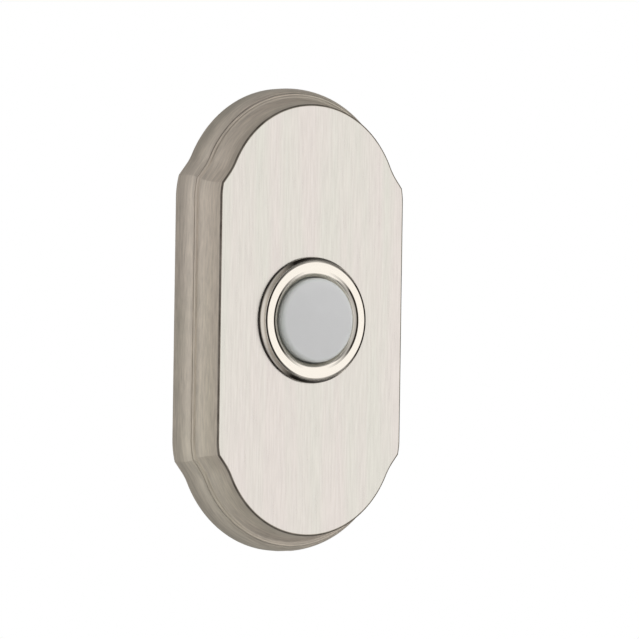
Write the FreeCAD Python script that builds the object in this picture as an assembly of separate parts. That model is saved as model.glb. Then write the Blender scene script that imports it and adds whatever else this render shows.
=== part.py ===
import FreeCAD, Part
import math
import os

# Lighted doorbell push button on an arch-ended moulded plate.
# Millimetres. +Z up, +X right, the front looks along -Y.
# The origin is the centre of the back, on the wall plane.
# Heights called s are measured from the wall plane towards the front, so y = -s.

V = FreeCAD.Vector
BUTTON_AXIS = V(0, 1, 0)

# Plate outline, measured at the edge of the flat face
overall_height = 76.2
overall_width = 41.3
plate_depth = 9.4
mould_width = 3.15        # how far the back stands out past the face, all round
shoulder_tilt = 38.0      # degrees from upright, where the shoulder leaves its corner
ease_turn = 12.0          # degrees that the sides turn inwards below the corner
# these four are shares of the face's half width
arch_share = 0.937        # radius of the round ends
shoulder_share = 0.746    # from the top of the face down to the sharp corner
hollow_share = 0.657      # radius of the hollow between the shoulder and the round end
ease_share = 0.629        # radius of the slight ease of the long sides

# Moulded edge, from the face outwards: broken edge, cove, flat fillet, quarter round, side
edge_break = 0.35
cove_width = 1.5
cove_depth = 4.3
fillet_width = 0.35
fillet_drop = 0.3
side_height = 1.6
band_sections = 6

# Hollow back of the plate
face_thick = 2.2
cavity_inset = 1.2
rebate_out = 1.2
rebate_depth = 3.2

# Button ring with its threaded barrel
barrel_r = 8.6            # every radius of the button follows this one
barrel_wall = 0.85
ring_overhang = 1.3       # the ring's front past the barrel
ring_taper = 0.45
ring_height = 1.05
ring_edge_round = 0.4
ring_ledge = 0.7          # inward step that keeps the cap in
ring_lip_round = 1.15
ring_land = 0.6           # straight stretch of the hole below its rounded lip
barrel_reach = 5.8        # from the face plane to the barrel's back end
barrel_clear = 0.15
gasket_thick = 0.3
gasket_inset = 0.25

# Nut and lock washer behind the face
nut_wall = 2.4
nut_thick = 2.2
washer_thick = 0.5
washer_width = 2.3
washer_teeth = 12
tooth_depth = 0.9
thread_clear = 0.02

# Cap, plunger and bridge: the pieces that travel
travel = 1.5
stop_gap = 0.1            # what is left open at both ends of the travel
cap_gap = 0.15
cap_proud = 1.3
cap_round = 0.75
cap_dome_r = 42.0
cap_wall = 1.3
cap_flange_gap = 0.25
cap_flange_thick = 0.9
plunger_clear = 0.03
plunger_thick = 1.0
plunger_seat = 0.35       # ledge inside the cap that the plunger's disc rests on
hub_share = 0.395         # radii of the moving pieces, as shares of the barrel's radius
hub_bore_share = 0.267
bridge_share = 0.5
hub_step = 0.5
bridge_thick = 0.4
bridge_lift = 0.1         # hub end stands past the bridge

# Switch body
housing_clear = 0.05
housing_wall = 1.35
housing_flange_inset = 0.2
housing_flange_thick = 1.2
housing_floor = 1.0
body_step = 0.25          # the body behind the barrel is this much slimmer than the bore
spring_wire_r = 0.25
spring_share = 0.616
spring_turns = 4.5
spring_arcs = 8           # arcs in each turn of the coil
post_share = 0.221
post_height = 0.5
base_thick = 4.8
base_edge = 0.3
pocket_width_share = 0.267
pocket_height_share = 0.581
pocket_depth = 3.6
barrier_width = 1.2
barrier_height = 1.4

# Lamp board
board_thick = 0.8
board_gap = 0.1
board_drop = 0.4
lamp_share = 0.174
lamp_flange_width = 0.25
lamp_flange_thick = 0.5
lamp_height = 4.3
lead_r = 0.22
lead_share = 0.148        # from the lamp's axis to each lead
lead_clear = 0.08
lead_tail = 0.3
resistor_r = 0.8
resistor_length = 3.2
resistor_lead_span = 5.2
link_r = 0.2
link_z = 0.65             # height of the links, between the lamp's two leads

# Terminals
terminal_share = 0.535
terminal_boss_share = 0.244
terminal_floor = 1.0
contact_half_height = 1.5
contact_near_share = 0.349
contact_far_share = 0.512
slot_clear = 0.1
terminal_screw_r = 1.25
terminal_head_r = 2.3
terminal_head_height = 1.4
terminal_screw_length = 4.6
terminal_washer_thick = 0.5
terminal_washer_half = 2.2
pass_clear = 0.2
base_screw_inset = 1.55
base_screw_r = 0.6
base_head_r = 1.15
base_head_height = 0.8
base_screw_bite = 0.75
slot_width_share = 0.22
slot_depth_share = 0.45

# Bracket on the wall, and the set screw that holds the plate to it
bracket_thick = 1.2
bracket_web = 2.0         # steel left at each side of the bracket's clear hole
bracket_corner_r = 4.0
bracket_end_gap = 0.25    # between the bracket's tabs and the cavity's ends
bracket_hole_gap = 1.5
wall_hole_drop = 14.1     # from the plate's ends to the wall screws
wall_hole_r = 2.0
tab_half_width = 4.5
tab_height = 3.0
tab_inner_bend = 0.6
set_screw_r = 1.25
set_screw_s = 1.7
set_screw_sink = 0.3
socket_r = 0.65
socket_depth = 1.3

# Levels along the button axis, from the wall plane
face_s = plate_depth
inside_s = face_s - face_thick
ring_back_s = face_s + gasket_thick
ring_front_s = ring_back_s + ring_height
shoulder_s = ring_front_s - ring_lip_round - ring_land
barrel_end_s = face_s - barrel_reach
flange_front_s = shoulder_s - stop_gap
flange_back_s = flange_front_s - cap_flange_thick
cap_front_s = ring_front_s + cap_proud
rim_s = flange_back_s - travel - stop_gap
flange_bottom_s = barrel_end_s - housing_flange_thick
floor_top_s = flange_bottom_s
floor_bottom_s = floor_top_s - housing_floor
base_back_s = floor_bottom_s - base_thick
contact_top_s = floor_top_s + stop_gap
hub_end_s = floor_top_s + travel + stop_gap
bridge_bottom_s = hub_end_s + bridge_lift
bridge_top_s = bridge_bottom_s + bridge_thick
board_top_s = floor_bottom_s - board_drop
board_bottom_s = board_top_s - board_thick
pocket_bottom_s = floor_bottom_s - pocket_depth
washer_back_s = inside_s - washer_thick

# Outline geometry
face_half_width = overall_width / 2 - mould_width
face_half_height = overall_height / 2 - mould_width
arch_r = arch_share * face_half_width
arch_z = face_half_height - arch_r
shoulder_z = face_half_height - shoulder_share * face_half_width
shoulder_hollow_r = hollow_share * face_half_width
ease_r = ease_share * face_half_width

# Radii and distances that follow the barrel
barrel_bore_r = barrel_r - barrel_wall
ring_hole_r = barrel_bore_r - ring_ledge
ring_face_r = barrel_r + ring_overhang
ring_base_r = ring_face_r + ring_taper
nut_flats = 2 * (barrel_r + nut_wall)
washer_r = barrel_r + washer_width
cap_r = ring_hole_r - cap_gap
hub_r = hub_share * barrel_r
hub_bore_r = hub_bore_share * barrel_r
bridge_r = bridge_share * barrel_r
spring_r = spring_share * barrel_r
housing_flange_r = barrel_r - housing_flange_inset
body_r = barrel_bore_r - body_step
post_r = post_share * barrel_r
pocket_half_width = pocket_width_share * barrel_r
pocket_half_height = pocket_height_share * barrel_r
lamp_r = lamp_share * barrel_r
lamp_flange_r = lamp_r + lamp_flange_width
lead_z = lead_share * barrel_r
terminal_x = terminal_share * barrel_r
terminal_boss_r = terminal_boss_share * barrel_r
contact_near_x = contact_near_share * barrel_r
contact_far_x = contact_far_share * barrel_r
base_screw_z = body_r - base_screw_inset
bracket_half_width = body_r + bracket_hole_gap + bracket_web
wall_hole_spacing = overall_height - 2 * wall_hole_drop
# the corners of the bracket's tabs come nearest to the cavity's round ends
bracket_end_z = arch_z + math.sqrt((arch_r - cavity_inset) ** 2 - tab_half_width**2) - bracket_end_gap


def at(x, s, z):
    """A point given by its height s above the wall plane."""
    return V(x, -s, z)


def closed_wire(path, place):
    """A wire through (point, kind) pairs. A "via" point bends the edge between its neighbours to an arc."""
    edges = []
    count = len(path)
    for i, (start, kind) in enumerate(path):
        if kind == "via":
            continue
        nxt, nxt_kind = path[(i + 1) % count]
        if nxt_kind == "via":
            end = path[(i + 2) % count][0]
            edges.append(Part.Arc(place(start), place(nxt), place(end)).toShape())
        else:
            edges.append(Part.LineSegment(place(start), place(nxt)).toShape())
    return Part.Wire(edges)


def turned(path):
    """A solid turned about the button axis, from a closed path of (radius, s) points."""
    wire = closed_wire(path, lambda p: at(p[0], p[1], 0))
    return Part.Face(wire).revolve(V(0, 0, 0), BUTTON_AXIS, 360)


def on(*points):
    """Corner points of a path."""
    return [(p, "on") for p in points]


def via(centre, radius, degrees):
    """The point of an arc at an angle about its centre, for use between its ends."""
    angle = math.radians(degrees)
    return [((centre[0] + radius * math.cos(angle), centre[1] + radius * math.sin(angle)), "via")]


def cylinder(radius, s_low, s_high, x=0.0, z=0.0):
    """A round bar along the button axis, between two levels."""
    return Part.makeCylinder(radius, s_high - s_low, at(x, s_low, z), V(0, -1, 0))


def block(x_low, x_high, s_low, s_high, z_low, z_high):
    """A rectangular block between two corners."""
    return Part.makeBox(x_high - x_low, s_high - s_low, z_high - z_low, at(x_low, s_high, z_low))


def as_group(solids):
    """Separate solids of one node."""
    return Part.makeCompound(solids)


def outline_quarter(offset):
    """The upper right quarter of the outline, moved out by offset, from the flank to the round end."""
    tilt = math.radians(shoulder_tilt)
    turn = math.radians(ease_turn)
    along = (-math.sin(tilt), math.cos(tilt))
    out = (math.cos(tilt), math.sin(tilt))
    ease = (face_half_width - ease_r, shoulder_z - ease_r * math.sin(turn))
    corner = (ease[0] + ease_r * math.cos(turn), shoulder_z)

    # centre of the hollow: one radius off the shoulder line, and touching the round end from outside
    bx = corner[0] + shoulder_hollow_r * out[0]
    bz = corner[1] + shoulder_hollow_r * out[1] - arch_z
    half = bx * along[0] + bz * along[1]
    rest = bx * bx + bz * bz - (arch_r + shoulder_hollow_r) ** 2
    run = -half - math.sqrt(half * half - rest)
    hollow = (bx + run * along[0], bz + run * along[1] + arch_z)

    # corner of the moved outline: where the moved shoulder line meets the widened ease
    px = corner[0] + offset * out[0] - ease[0]
    pz = corner[1] + offset * out[1] - ease[1]
    half = px * along[0] + pz * along[1]
    rest = px * px + pz * pz - (ease_r + offset) ** 2
    back = -half - math.sqrt(half * half - rest)
    tip = (ease[0] + px + back * along[0], ease[1] + pz + back * along[1])

    foot = (corner[0] + offset * out[0] + run * along[0], corner[1] + offset * out[1] + run * along[1])
    reach = math.hypot(hollow[0], hollow[1] - arch_z)
    join = (
        hollow[0] * (arch_r + offset) / reach,
        arch_z + (hollow[1] - arch_z) * (arch_r + offset) / reach,
    )
    tip_angle = math.degrees(math.atan2(tip[1] - ease[1], tip[0] - ease[0]))
    foot_angle = math.degrees(math.atan2(foot[1] - hollow[1], foot[0] - hollow[0])) % 360
    join_angle = math.degrees(math.atan2(join[1] - hollow[1], join[0] - hollow[0])) % 360
    return (
        on((face_half_width + offset, ease[1]))
        + via(ease, ease_r + offset, tip_angle / 2)
        + on(tip, foot)
        + via(hollow, shoulder_hollow_r - offset, (foot_angle + join_angle) / 2)
        + on(join)
    )


def outline(offset, s):
    """The whole outline of the plate, moved out by offset, as a wire at level s."""
    quarter = outline_quarter(offset)
    top = face_half_height + offset

    def mirrored(path, sx, sz):
        turned_path = [((p[0] * sx, p[1] * sz), kind) for p, kind in path]
        return turned_path if sx == sz else turned_path[::-1]

    path = (
        quarter
        + [((0, top), "via")]
        + mirrored(quarter, -1, 1)
        + mirrored(quarter, -1, -1)
        + [((0, -top), "via")]
        + mirrored(quarter, 1, -1)
    )
    return closed_wire(path, lambda p: at(p[0], s, p[1]))


def slab(offset, s_low, s_high):
    """A straight-sided plate of the outline between two levels."""
    return Part.Face(outline(offset, s_low)).extrude(V(0, s_low - s_high, 0))


def band(profile):
    """A plate whose side follows a smooth profile of (offset, depth below the face) points."""
    wires = [outline(offset, face_s - depth) for offset, depth in profile]
    return Part.makeLoft(wires, True, False)


def quarter_steps():
    """Angles that divide a quarter turn into even sections."""
    return [math.radians(90 * i / (band_sections - 1)) for i in range(band_sections)]


def cover_plate():
    """Forged shell with the moulded edge: hollow at the back, with the button hole and the set screw hole."""
    cove_end = (edge_break + cove_width, edge_break + cove_depth)
    round_start = (cove_end[0] + fillet_width, cove_end[1] + fillet_drop)
    round_end = (mould_width, face_s - side_height)
    wide, deep = cove_end[0] - edge_break, cove_end[1] - edge_break
    round_wide, round_deep = round_end[0] - round_start[0], round_end[1] - round_start[1]

    broken_edge = band(
        [(edge_break * math.sin(a), edge_break * (1 - math.cos(a))) for a in quarter_steps()]
    )
    cove = band(
        [(cove_end[0] - wide * math.cos(a), edge_break + deep * math.sin(a)) for a in quarter_steps()]
    )
    quarter_round = band(
        [
            (round_start[0] + round_wide * math.sin(a), round_start[1] + round_deep * (1 - math.cos(a)))
            for a in quarter_steps()
        ]
    )
    fillet = slab(round_start[0], face_s - round_start[1], face_s - cove_end[1])
    side = slab(mould_width, 0, side_height)
    plate = broken_edge.multiFuse([cove, fillet, quarter_round, side])

    cavity = slab(-cavity_inset, 0, inside_s)
    rebate = slab(rebate_out, 0, rebate_depth)
    button_hole = cylinder(barrel_r + barrel_clear, inside_s, face_s)
    # the drill starts well outside the curved edge and ends in the open rebate
    set_hole = Part.makeCylinder(
        set_screw_r + thread_clear,
        2 * mould_width,
        at(0, set_screw_s, rebate_out - overall_height / 2 - mould_width),
        V(0, 0, 1),
    )
    return plate.cut([cavity, rebate, button_hole, set_hole]).removeSplitter()


def bezel_ring():
    """Turned ring: rounded lip, flat front, tapered side, and the threaded barrel behind it."""
    lip = (ring_hole_r + ring_lip_round, ring_front_s - ring_lip_round)
    edge = (ring_face_r - ring_edge_round, ring_front_s - ring_edge_round)
    path = (
        on((ring_hole_r, shoulder_s), (ring_hole_r, lip[1]))
        + via(lip, ring_lip_round, 135)
        + on((lip[0], ring_front_s), (edge[0], ring_front_s))
        + via(edge, ring_edge_round, 45)
        + on(
            (ring_face_r, edge[1]),
            (ring_base_r, ring_back_s),
            (barrel_r, ring_back_s),
            (barrel_r, barrel_end_s),
            (barrel_bore_r, barrel_end_s),
            (barrel_bore_r, shoulder_s),
        )
    )
    return turned(path)


def bezel_gasket():
    """Thin rubber washer between the ring and the face."""
    outer = ring_base_r - gasket_inset
    ring = cylinder(outer, face_s, ring_back_s)
    return ring.cut(cylinder(barrel_r + barrel_clear, face_s, ring_back_s))


def lock_washer():
    """External-tooth lock washer under the nut."""
    blank = cylinder(washer_r, washer_back_s, inside_s)
    blank = blank.cut(cylinder(barrel_r + barrel_clear, washer_back_s, inside_s))
    notch_half = math.pi * washer_r / washer_teeth / 2
    notches = []
    for i in range(washer_teeth):
        notch = block(
            -notch_half, notch_half, washer_back_s, inside_s, washer_r - tooth_depth, washer_r + tooth_depth
        )
        notch.rotate(V(0, 0, 0), BUTTON_AXIS, 360 * i / washer_teeth)
        notches.append(notch)
    return blank.cut(notches)


def bezel_nut():
    """Hexagon nut with chamfered corners on the threaded barrel."""
    s_low = washer_back_s - nut_thick
    corner_r = nut_flats / 2 / math.cos(math.radians(30))
    # two flats face the plate's long sides
    corners = [
        at(corner_r * math.sin(math.radians(60 * i)), s_low, corner_r * math.cos(math.radians(60 * i)))
        for i in range(7)
    ]
    hexagon = Part.Face(Part.makePolygon(corners)).extrude(V(0, -nut_thick, 0))
    drop = (corner_r - nut_flats / 2) * math.tan(math.radians(30))
    chamfered = turned(
        on(
            (0, s_low),
            (nut_flats / 2, s_low),
            (corner_r, s_low + drop),
            (corner_r, washer_back_s),
            (0, washer_back_s),
        )
    )
    return hexagon.common(chamfered).cut(cylinder(barrel_r + thread_clear, s_low, washer_back_s))


def button_cap():
    """Translucent domed cap: hollow from behind, with the flange that keeps it in the ring."""
    dome_centre_s = cap_front_s - cap_dome_r
    # the rounded edge touches the dome from inside, so the two meet in one tangent line
    edge_x = cap_r - cap_round
    edge_rise = math.sqrt((cap_dome_r - cap_round) ** 2 - edge_x**2)
    edge_centre = (edge_x, dome_centre_s + edge_rise)
    meet = 90 - math.degrees(math.atan2(edge_x, edge_rise))
    meet_r = cap_dome_r * math.cos(math.radians(meet))
    meet_s = dome_centre_s + cap_dome_r * math.sin(math.radians(meet))
    inner_r = cap_r - cap_wall
    seat_s = flange_back_s + plunger_thick
    inner_dome_r = cap_dome_r - cap_wall
    inner_dome_s = dome_centre_s + math.sqrt(inner_dome_r**2 - inner_r**2)
    path = (
        on((0, cap_front_s))
        + via((0, dome_centre_s), cap_dome_r, (90 + meet) / 2)
        + on((meet_r, meet_s))
        + via(edge_centre, cap_round, meet / 2)
        + on(
            (cap_r, edge_centre[1]),
            (cap_r, flange_front_s),
            (barrel_bore_r - cap_flange_gap, flange_front_s),
            (barrel_bore_r - cap_flange_gap, flange_back_s),
            (inner_r + plunger_seat, flange_back_s),
            (inner_r + plunger_seat, seat_s),
            (inner_r, seat_s),
            (inner_r, inner_dome_s),
        )
        + via((0, dome_centre_s), inner_dome_r, (90 + meet) / 2)
        + on((0, cap_front_s - cap_wall))
    )
    return turned(path)


def plunger():
    """Disc and hollow hub behind the cap: it carries the spring and the contact bridge, round the lamp."""
    disc_r = cap_r - cap_wall + plunger_seat - plunger_clear
    path = on(
        (hub_bore_r, flange_back_s + plunger_thick),
        (disc_r, flange_back_s + plunger_thick),
        (disc_r, flange_back_s),
        (hub_r, flange_back_s),
        (hub_r, bridge_top_s),
        (hub_r - hub_step, bridge_top_s),
        (hub_r - hub_step, hub_end_s),
        (hub_bore_r, hub_end_s),
    )
    return turned(path)


def contact_bridge():
    """Brass ring on the hub's end that joins the two fixed contacts."""
    ring = cylinder(bridge_r, bridge_bottom_s, bridge_top_s)
    return ring.cut(cylinder(hub_r - hub_step + thread_clear, bridge_bottom_s, bridge_top_s))


def return_spring():
    """Coil spring between the plunger's disc and the housing floor, bent as a chain of equal arcs."""
    low = floor_top_s + spring_wire_r
    high = flange_back_s - spring_wire_r
    climb = (high - low) / spring_turns / spring_arcs
    half = math.pi / spring_arcs
    start = at(spring_r, low, 0)
    end = at(spring_r * math.cos(2 * half), low + climb, spring_r * math.sin(2 * half))
    chord = end.sub(start)
    # each arc starts on the slope that brings it in line with the next one
    heading = V(0, -climb / (2 * spring_r * math.tan(half)), 1).normalize()
    swing = heading.getAngle(chord)
    axis = heading.cross(chord).normalize()
    bend_r = chord.Length / 2 / math.sin(swing)
    centre = start + axis.cross(heading) * bend_r
    section = Part.Face(Part.Wire([Part.makeCircle(spring_wire_r, start, heading)]))
    arc = section.revolve(centre, axis, math.degrees(2 * swing))
    pieces = []
    for i in range(round(spring_turns * spring_arcs)):
        piece = arc.copy()
        piece.rotate(V(0, 0, 0), BUTTON_AXIS, -360 * i / spring_arcs)
        piece.translate(V(0, -climb * i, 0))
        pieces.append(piece)
    return pieces[0].multiFuse(pieces[1:])


def switch_housing():
    """Moulded cup in the barrel: rim that stops the cap, flange behind the barrel, floor and lamp post."""
    outer = barrel_bore_r - housing_clear
    inner = outer - housing_wall
    path = on(
        (0, floor_bottom_s),
        (body_r, floor_bottom_s),
        (body_r, flange_bottom_s),
        (housing_flange_r, flange_bottom_s),
        (housing_flange_r, barrel_end_s),
        (outer, barrel_end_s),
        (outer, rim_s),
        (inner, rim_s),
        (inner, floor_top_s),
        (post_r, floor_top_s),
        (post_r, floor_top_s + post_height),
        (0, floor_top_s + post_height),
    )
    cup = turned(path)
    cuts = []
    for side in (-1, 1):
        near, far = contact_near_x - slot_clear, contact_far_x + slot_clear
        x_low, x_high = min(side * near, side * far), max(side * near, side * far)
        half = contact_half_height + slot_clear
        cuts.append(block(x_low, x_high, floor_bottom_s, floor_top_s, -half, half))
        post_top = floor_top_s + post_height
        cuts.append(cylinder(lead_r + lead_clear, floor_bottom_s, post_top, 0, side * lead_z))
        bite_top = floor_bottom_s + base_screw_bite
        cuts.append(cylinder(base_screw_r + thread_clear, floor_bottom_s, bite_top, 0, side * base_screw_z))
    return cup.cut(cuts)


def terminal_base():
    """Round rear moulding: pocket for the lamp board, seats for the terminals, barrier between them."""
    path = on(
        (0, floor_bottom_s),
        (body_r, floor_bottom_s),
        (body_r, base_back_s + base_edge),
        (body_r - base_edge, base_back_s),
        (0, base_back_s),
    )
    # the barrier stops short of the two base screws
    half = barrier_width / 2
    end = base_screw_z - base_head_r - pass_clear
    barrier = block(-half, half, base_back_s - barrier_height, base_back_s, -end, end)
    base = turned(path).fuse(barrier)
    cuts = [
        block(
            -pocket_half_width,
            pocket_half_width,
            pocket_bottom_s,
            floor_bottom_s,
            -pocket_half_height,
            pocket_half_height,
        )
    ]
    for side in (-1, 1):
        x = side * terminal_x
        cuts.append(cylinder(terminal_boss_r, base_back_s + terminal_floor, floor_bottom_s, x))
        cuts.append(cylinder(terminal_screw_r + pass_clear, base_back_s, floor_bottom_s, x))
        z = side * base_screw_z
        cuts.append(cylinder(base_screw_r + pass_clear, base_back_s, floor_bottom_s, 0, z))
        # small channel from the pocket to the terminal for the board's link
        x_low, x_high = min(side * pocket_half_width, x), max(side * pocket_half_width, x)
        reach = link_r + slot_clear
        cuts.append(
            block(x_low, x_high, board_top_s, floor_bottom_s, side * link_z - reach, side * link_z + reach)
        )
    return base.cut(cuts).removeSplitter()


def contact(side):
    """Fixed contact: tapped boss in the base, and the pad that stands up through the housing floor."""
    x = side * terminal_x
    boss = cylinder(terminal_boss_r, base_back_s + terminal_floor, floor_bottom_s, x)
    x_low, x_high = sorted((side * contact_near_x, side * contact_far_x))
    pad = block(
        x_low, x_high, floor_bottom_s, contact_top_s, -contact_half_height, contact_half_height
    )
    head_s = base_back_s - terminal_washer_thick
    tapped = cylinder(
        terminal_screw_r + thread_clear, base_back_s, head_s + terminal_screw_length + pass_clear, x
    )
    return boss.fuse(pad).cut(tapped).removeSplitter()


def slotted_screw(x, z, head_s, shank_r, length, head_r, head_height):
    """Pan-head screw from behind: the head's underside is at head_s and the shank goes to the front."""
    edge = head_height * slot_depth_share
    path = (
        on((0, head_s + length), (shank_r, head_s + length), (shank_r, head_s), (head_r, head_s))
        + on((head_r, head_s - head_height + edge))
        + via((head_r - edge, head_s - head_height + edge), edge, -45)
        + on((head_r - edge, head_s - head_height), (0, head_s - head_height))
    )
    screw = turned(path)
    half = head_r * slot_width_share / 2
    slot = block(-head_r, head_r, head_s - head_height, head_s - head_height + edge, -half, half)
    screw = screw.cut(slot)
    screw.translate(V(x, 0, z))
    return screw


def terminal_screws():
    """The two screws that clamp the bell wires."""
    head_s = base_back_s - terminal_washer_thick
    return as_group(
        [
            slotted_screw(
                side * terminal_x,
                0,
                head_s,
                terminal_screw_r,
                terminal_screw_length,
                terminal_head_r,
                terminal_head_height,
            )
            for side in (-1, 1)
        ]
    )


def terminal_washers():
    """Square washers that press the wires flat."""
    washers = []
    for side in (-1, 1):
        x = side * terminal_x
        s_low = base_back_s - terminal_washer_thick
        half = terminal_washer_half
        plate = block(x - half, x + half, s_low, base_back_s, -half, half)
        round_bar = cylinder(body_r - base_edge, s_low, base_back_s)
        plate = plate.common(round_bar)
        washers.append(plate.cut(cylinder(terminal_screw_r + slot_clear, s_low, base_back_s, x)))
    return as_group(washers)


def base_screws():
    """The two small screws that hold the base to the housing."""
    length = base_thick + base_screw_bite
    return as_group(
        [
            slotted_screw(
                0,
                side * base_screw_z,
                base_back_s,
                base_screw_r,
                length,
                base_head_r,
                base_head_height,
            )
            for side in (-1, 1)
        ]
    )


def circuit_board():
    """Small board in the base's pocket that carries the lamp and its resistor."""
    half_width = pocket_half_width - board_gap
    half_height = pocket_half_height - board_gap
    board = block(-half_width, half_width, board_bottom_s, board_top_s, -half_height, half_height)
    holes = []
    for side in (-1, 1):
        holes.append(cylinder(lead_r + slot_clear, board_bottom_s, board_top_s, 0, side * lead_z))
    return board.cut(holes)


def led_lamp():
    """Round lamp with a domed end, on the housing's post."""
    foot_s = floor_top_s + post_height
    dome_s = foot_s + lamp_height - lamp_r
    path = (
        on(
            (0, foot_s),
            (lamp_flange_r, foot_s),
            (lamp_flange_r, foot_s + lamp_flange_thick),
            (lamp_r, foot_s + lamp_flange_thick),
            (lamp_r, dome_s),
        )
        + via((0, dome_s), lamp_r, 45)
        + on((0, dome_s + lamp_r))
    )
    return turned(path)


def lamp_leads():
    """Two lead wires from the lamp through the housing floor to the board."""
    top = floor_top_s + post_height
    return as_group(
        [cylinder(lead_r, board_bottom_s - lead_tail, top, 0, side * lead_z) for side in (-1, 1)]
    )


def resistor():
    """Axial resistor under the board, with its leads bent up to it."""
    centre_s = board_bottom_s - lead_tail - resistor_r - slot_clear
    half = resistor_lead_span / 2
    bend = 3 * lead_r
    start = at(0, board_bottom_s, half)
    corner_in = at(0, centre_s + bend, half)
    turn = math.radians(45)
    middle = at(0, centre_s + bend * (1 - math.sin(turn)), half - bend * (1 - math.cos(turn)))
    corner_out = at(0, centre_s, half - bend)
    far_out = at(0, centre_s, bend - half)
    far_middle = at(0, centre_s + bend * (1 - math.sin(turn)), bend * (1 - math.cos(turn)) - half)
    far_in = at(0, centre_s + bend, -half)
    end = at(0, board_bottom_s, -half)
    route = Part.Wire(
        [
            Part.LineSegment(start, corner_in).toShape(),
            Part.Arc(corner_in, middle, corner_out).toShape(),
            Part.LineSegment(corner_out, far_out).toShape(),
            Part.Arc(far_out, far_middle, far_in).toShape(),
            Part.LineSegment(far_in, end).toShape(),
        ]
    )
    section = Part.Wire([Part.makeCircle(lead_r, start, BUTTON_AXIS)])
    wire = route.makePipeShell([section], True, False)
    body = Part.makeCylinder(resistor_r, resistor_length, at(0, centre_s, -resistor_length / 2))
    body = body.makeFillet(resistor_r / 3, [e for e in body.Edges if e.Curve.TypeId == "Part::GeomCircle"])
    return body.fuse(wire)


def board_links():
    """Short wires from the board to the rims of the two terminals' bosses."""
    links = []
    centre_s = board_top_s + link_r
    for side in (-1, 1):
        start = at(side * pocket_half_width / 2, centre_s, side * link_z)
        length = terminal_x - pocket_half_width / 2
        link = Part.makeCylinder(link_r, length, start, V(side, 0, 0))
        boss = cylinder(terminal_boss_r, board_top_s, floor_bottom_s, side * terminal_x)
        links.append(link.cut(boss))
    return as_group(links)


def mounting_bracket():
    """Folded steel strap on the wall: two screw holes, a clear hole for the switch, a tab at each end."""
    end_z = bracket_end_z
    half = bracket_half_width
    r = bracket_corner_r
    flat_z = end_z - bracket_thick
    mid = r * (1 - math.cos(math.radians(45)))
    corners = []
    for sx, sz in ((1, 1), (-1, 1), (-1, -1), (1, -1)):
        side_end = ((sx * half, sz * (flat_z - r)), "on")
        end_side = ((sx * (half - r), sz * flat_z), "on")
        middle = ((sx * (half - mid), sz * (flat_z - mid)), "via")
        corners += [side_end, middle, end_side] if sx == sz else [end_side, middle, side_end]
    strap = Part.Face(closed_wire(corners, lambda p: at(p[0], 0, p[1]))).extrude(V(0, -bracket_thick, 0))

    # folded ends: flat, bend, and a tab that stands up from the wall
    bend_out = tab_inner_bend + bracket_thick
    pieces = [strap]
    for sz in (1, -1):
        centre = (sz * (end_z - bend_out), bend_out)
        tip = bracket_thick + tab_height
        fold = (
            on((centre[0] - sz * r, 0), (centre[0], 0))
            + via(centre, bend_out, -45 if sz > 0 else -135)
            + on(
                (sz * end_z, bend_out),
                (sz * end_z, tip),
                (sz * (end_z - bracket_thick), tip),
                (sz * (end_z - bracket_thick), bend_out),
            )
            + via(centre, tab_inner_bend, -45 if sz > 0 else -135)
            + on((centre[0], bracket_thick), (centre[0] - sz * r, bracket_thick))
        )
        wire = closed_wire(fold, lambda p: at(-tab_half_width, p[1], p[0]))
        pieces.append(Part.Face(wire).extrude(V(2 * tab_half_width, 0, 0)))
    bracket = pieces[0].multiFuse(pieces[1:])
    holes = [cylinder(body_r + bracket_hole_gap, 0, bracket_thick)]
    for side in (-1, 1):
        holes.append(cylinder(wall_hole_r, 0, bracket_thick, 0, side * wall_hole_spacing / 2))
    return bracket.cut(holes).removeSplitter()


def set_screw():
    """Cup-point set screw through the plate's lower edge, against the bracket's tab."""
    outer_z = -(overall_height / 2 - set_screw_sink)
    length = -bracket_end_z - outer_z
    body = Part.makeCylinder(set_screw_r, length, at(0, set_screw_s, outer_z), V(0, 0, 1))
    body = body.makeChamfer(set_screw_r / 4, [body.Edges[0], body.Edges[2]])
    corners = [
        at(
            socket_r * math.cos(math.radians(60 * i)),
            set_screw_s + socket_r * math.sin(math.radians(60 * i)),
            outer_z,
        )
        for i in range(7)
    ]
    socket = Part.Face(Part.makePolygon(corners)).extrude(V(0, 0, socket_depth))
    return body.cut(socket)


def main():
    """Builds every piece and writes one file for each."""
    pieces = {
        "cover_plate": cover_plate(),
        "bezel_ring": bezel_ring(),
        "bezel_gasket": bezel_gasket(),
        "lock_washer": lock_washer(),
        "bezel_nut": bezel_nut(),
        "button_cap": button_cap(),
        "plunger": plunger(),
        "contact_bridge": contact_bridge(),
        "return_spring": return_spring(),
        "switch_housing": switch_housing(),
        "terminal_base": terminal_base(),
        "base_screws": base_screws(),
        "contact_left": contact(-1),
        "contact_right": contact(1),
        "terminal_screws": terminal_screws(),
        "terminal_washers": terminal_washers(),
        "circuit_board": circuit_board(),
        "led_lamp": led_lamp(),
        "lamp_leads": lamp_leads(),
        "resistor": resistor(),
        "board_links": board_links(),
        "mounting_bracket": mounting_bracket(),
        "set_screw": set_screw(),
    }
    os.makedirs("parts", exist_ok=True)
    for name, shape in pieces.items():
        shape.exportStep(f"parts/{name}.step")
        print(name, "solids", len(shape.Solids), "valid", shape.isValid(), "volume", round(shape.Volume, 2))


main()
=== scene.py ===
"""Dresses the frame of a lighted doorbell push button.

The moulded plate, the polished ring, the milky cap and the return spring are rebuilt as fine
meshes in place of their solids. Every other piece of the frame keeps its shape and gets a finish.
Lengths are in millimetres until they reach a mesh, and s is the height above the wall.
"""

import logging
import math
from collections.abc import Callable, Iterator
from dataclasses import dataclass, field
from enum import Enum
from functools import cache

import bmesh
import bpy
from mathutils import Matrix, Vector


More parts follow.
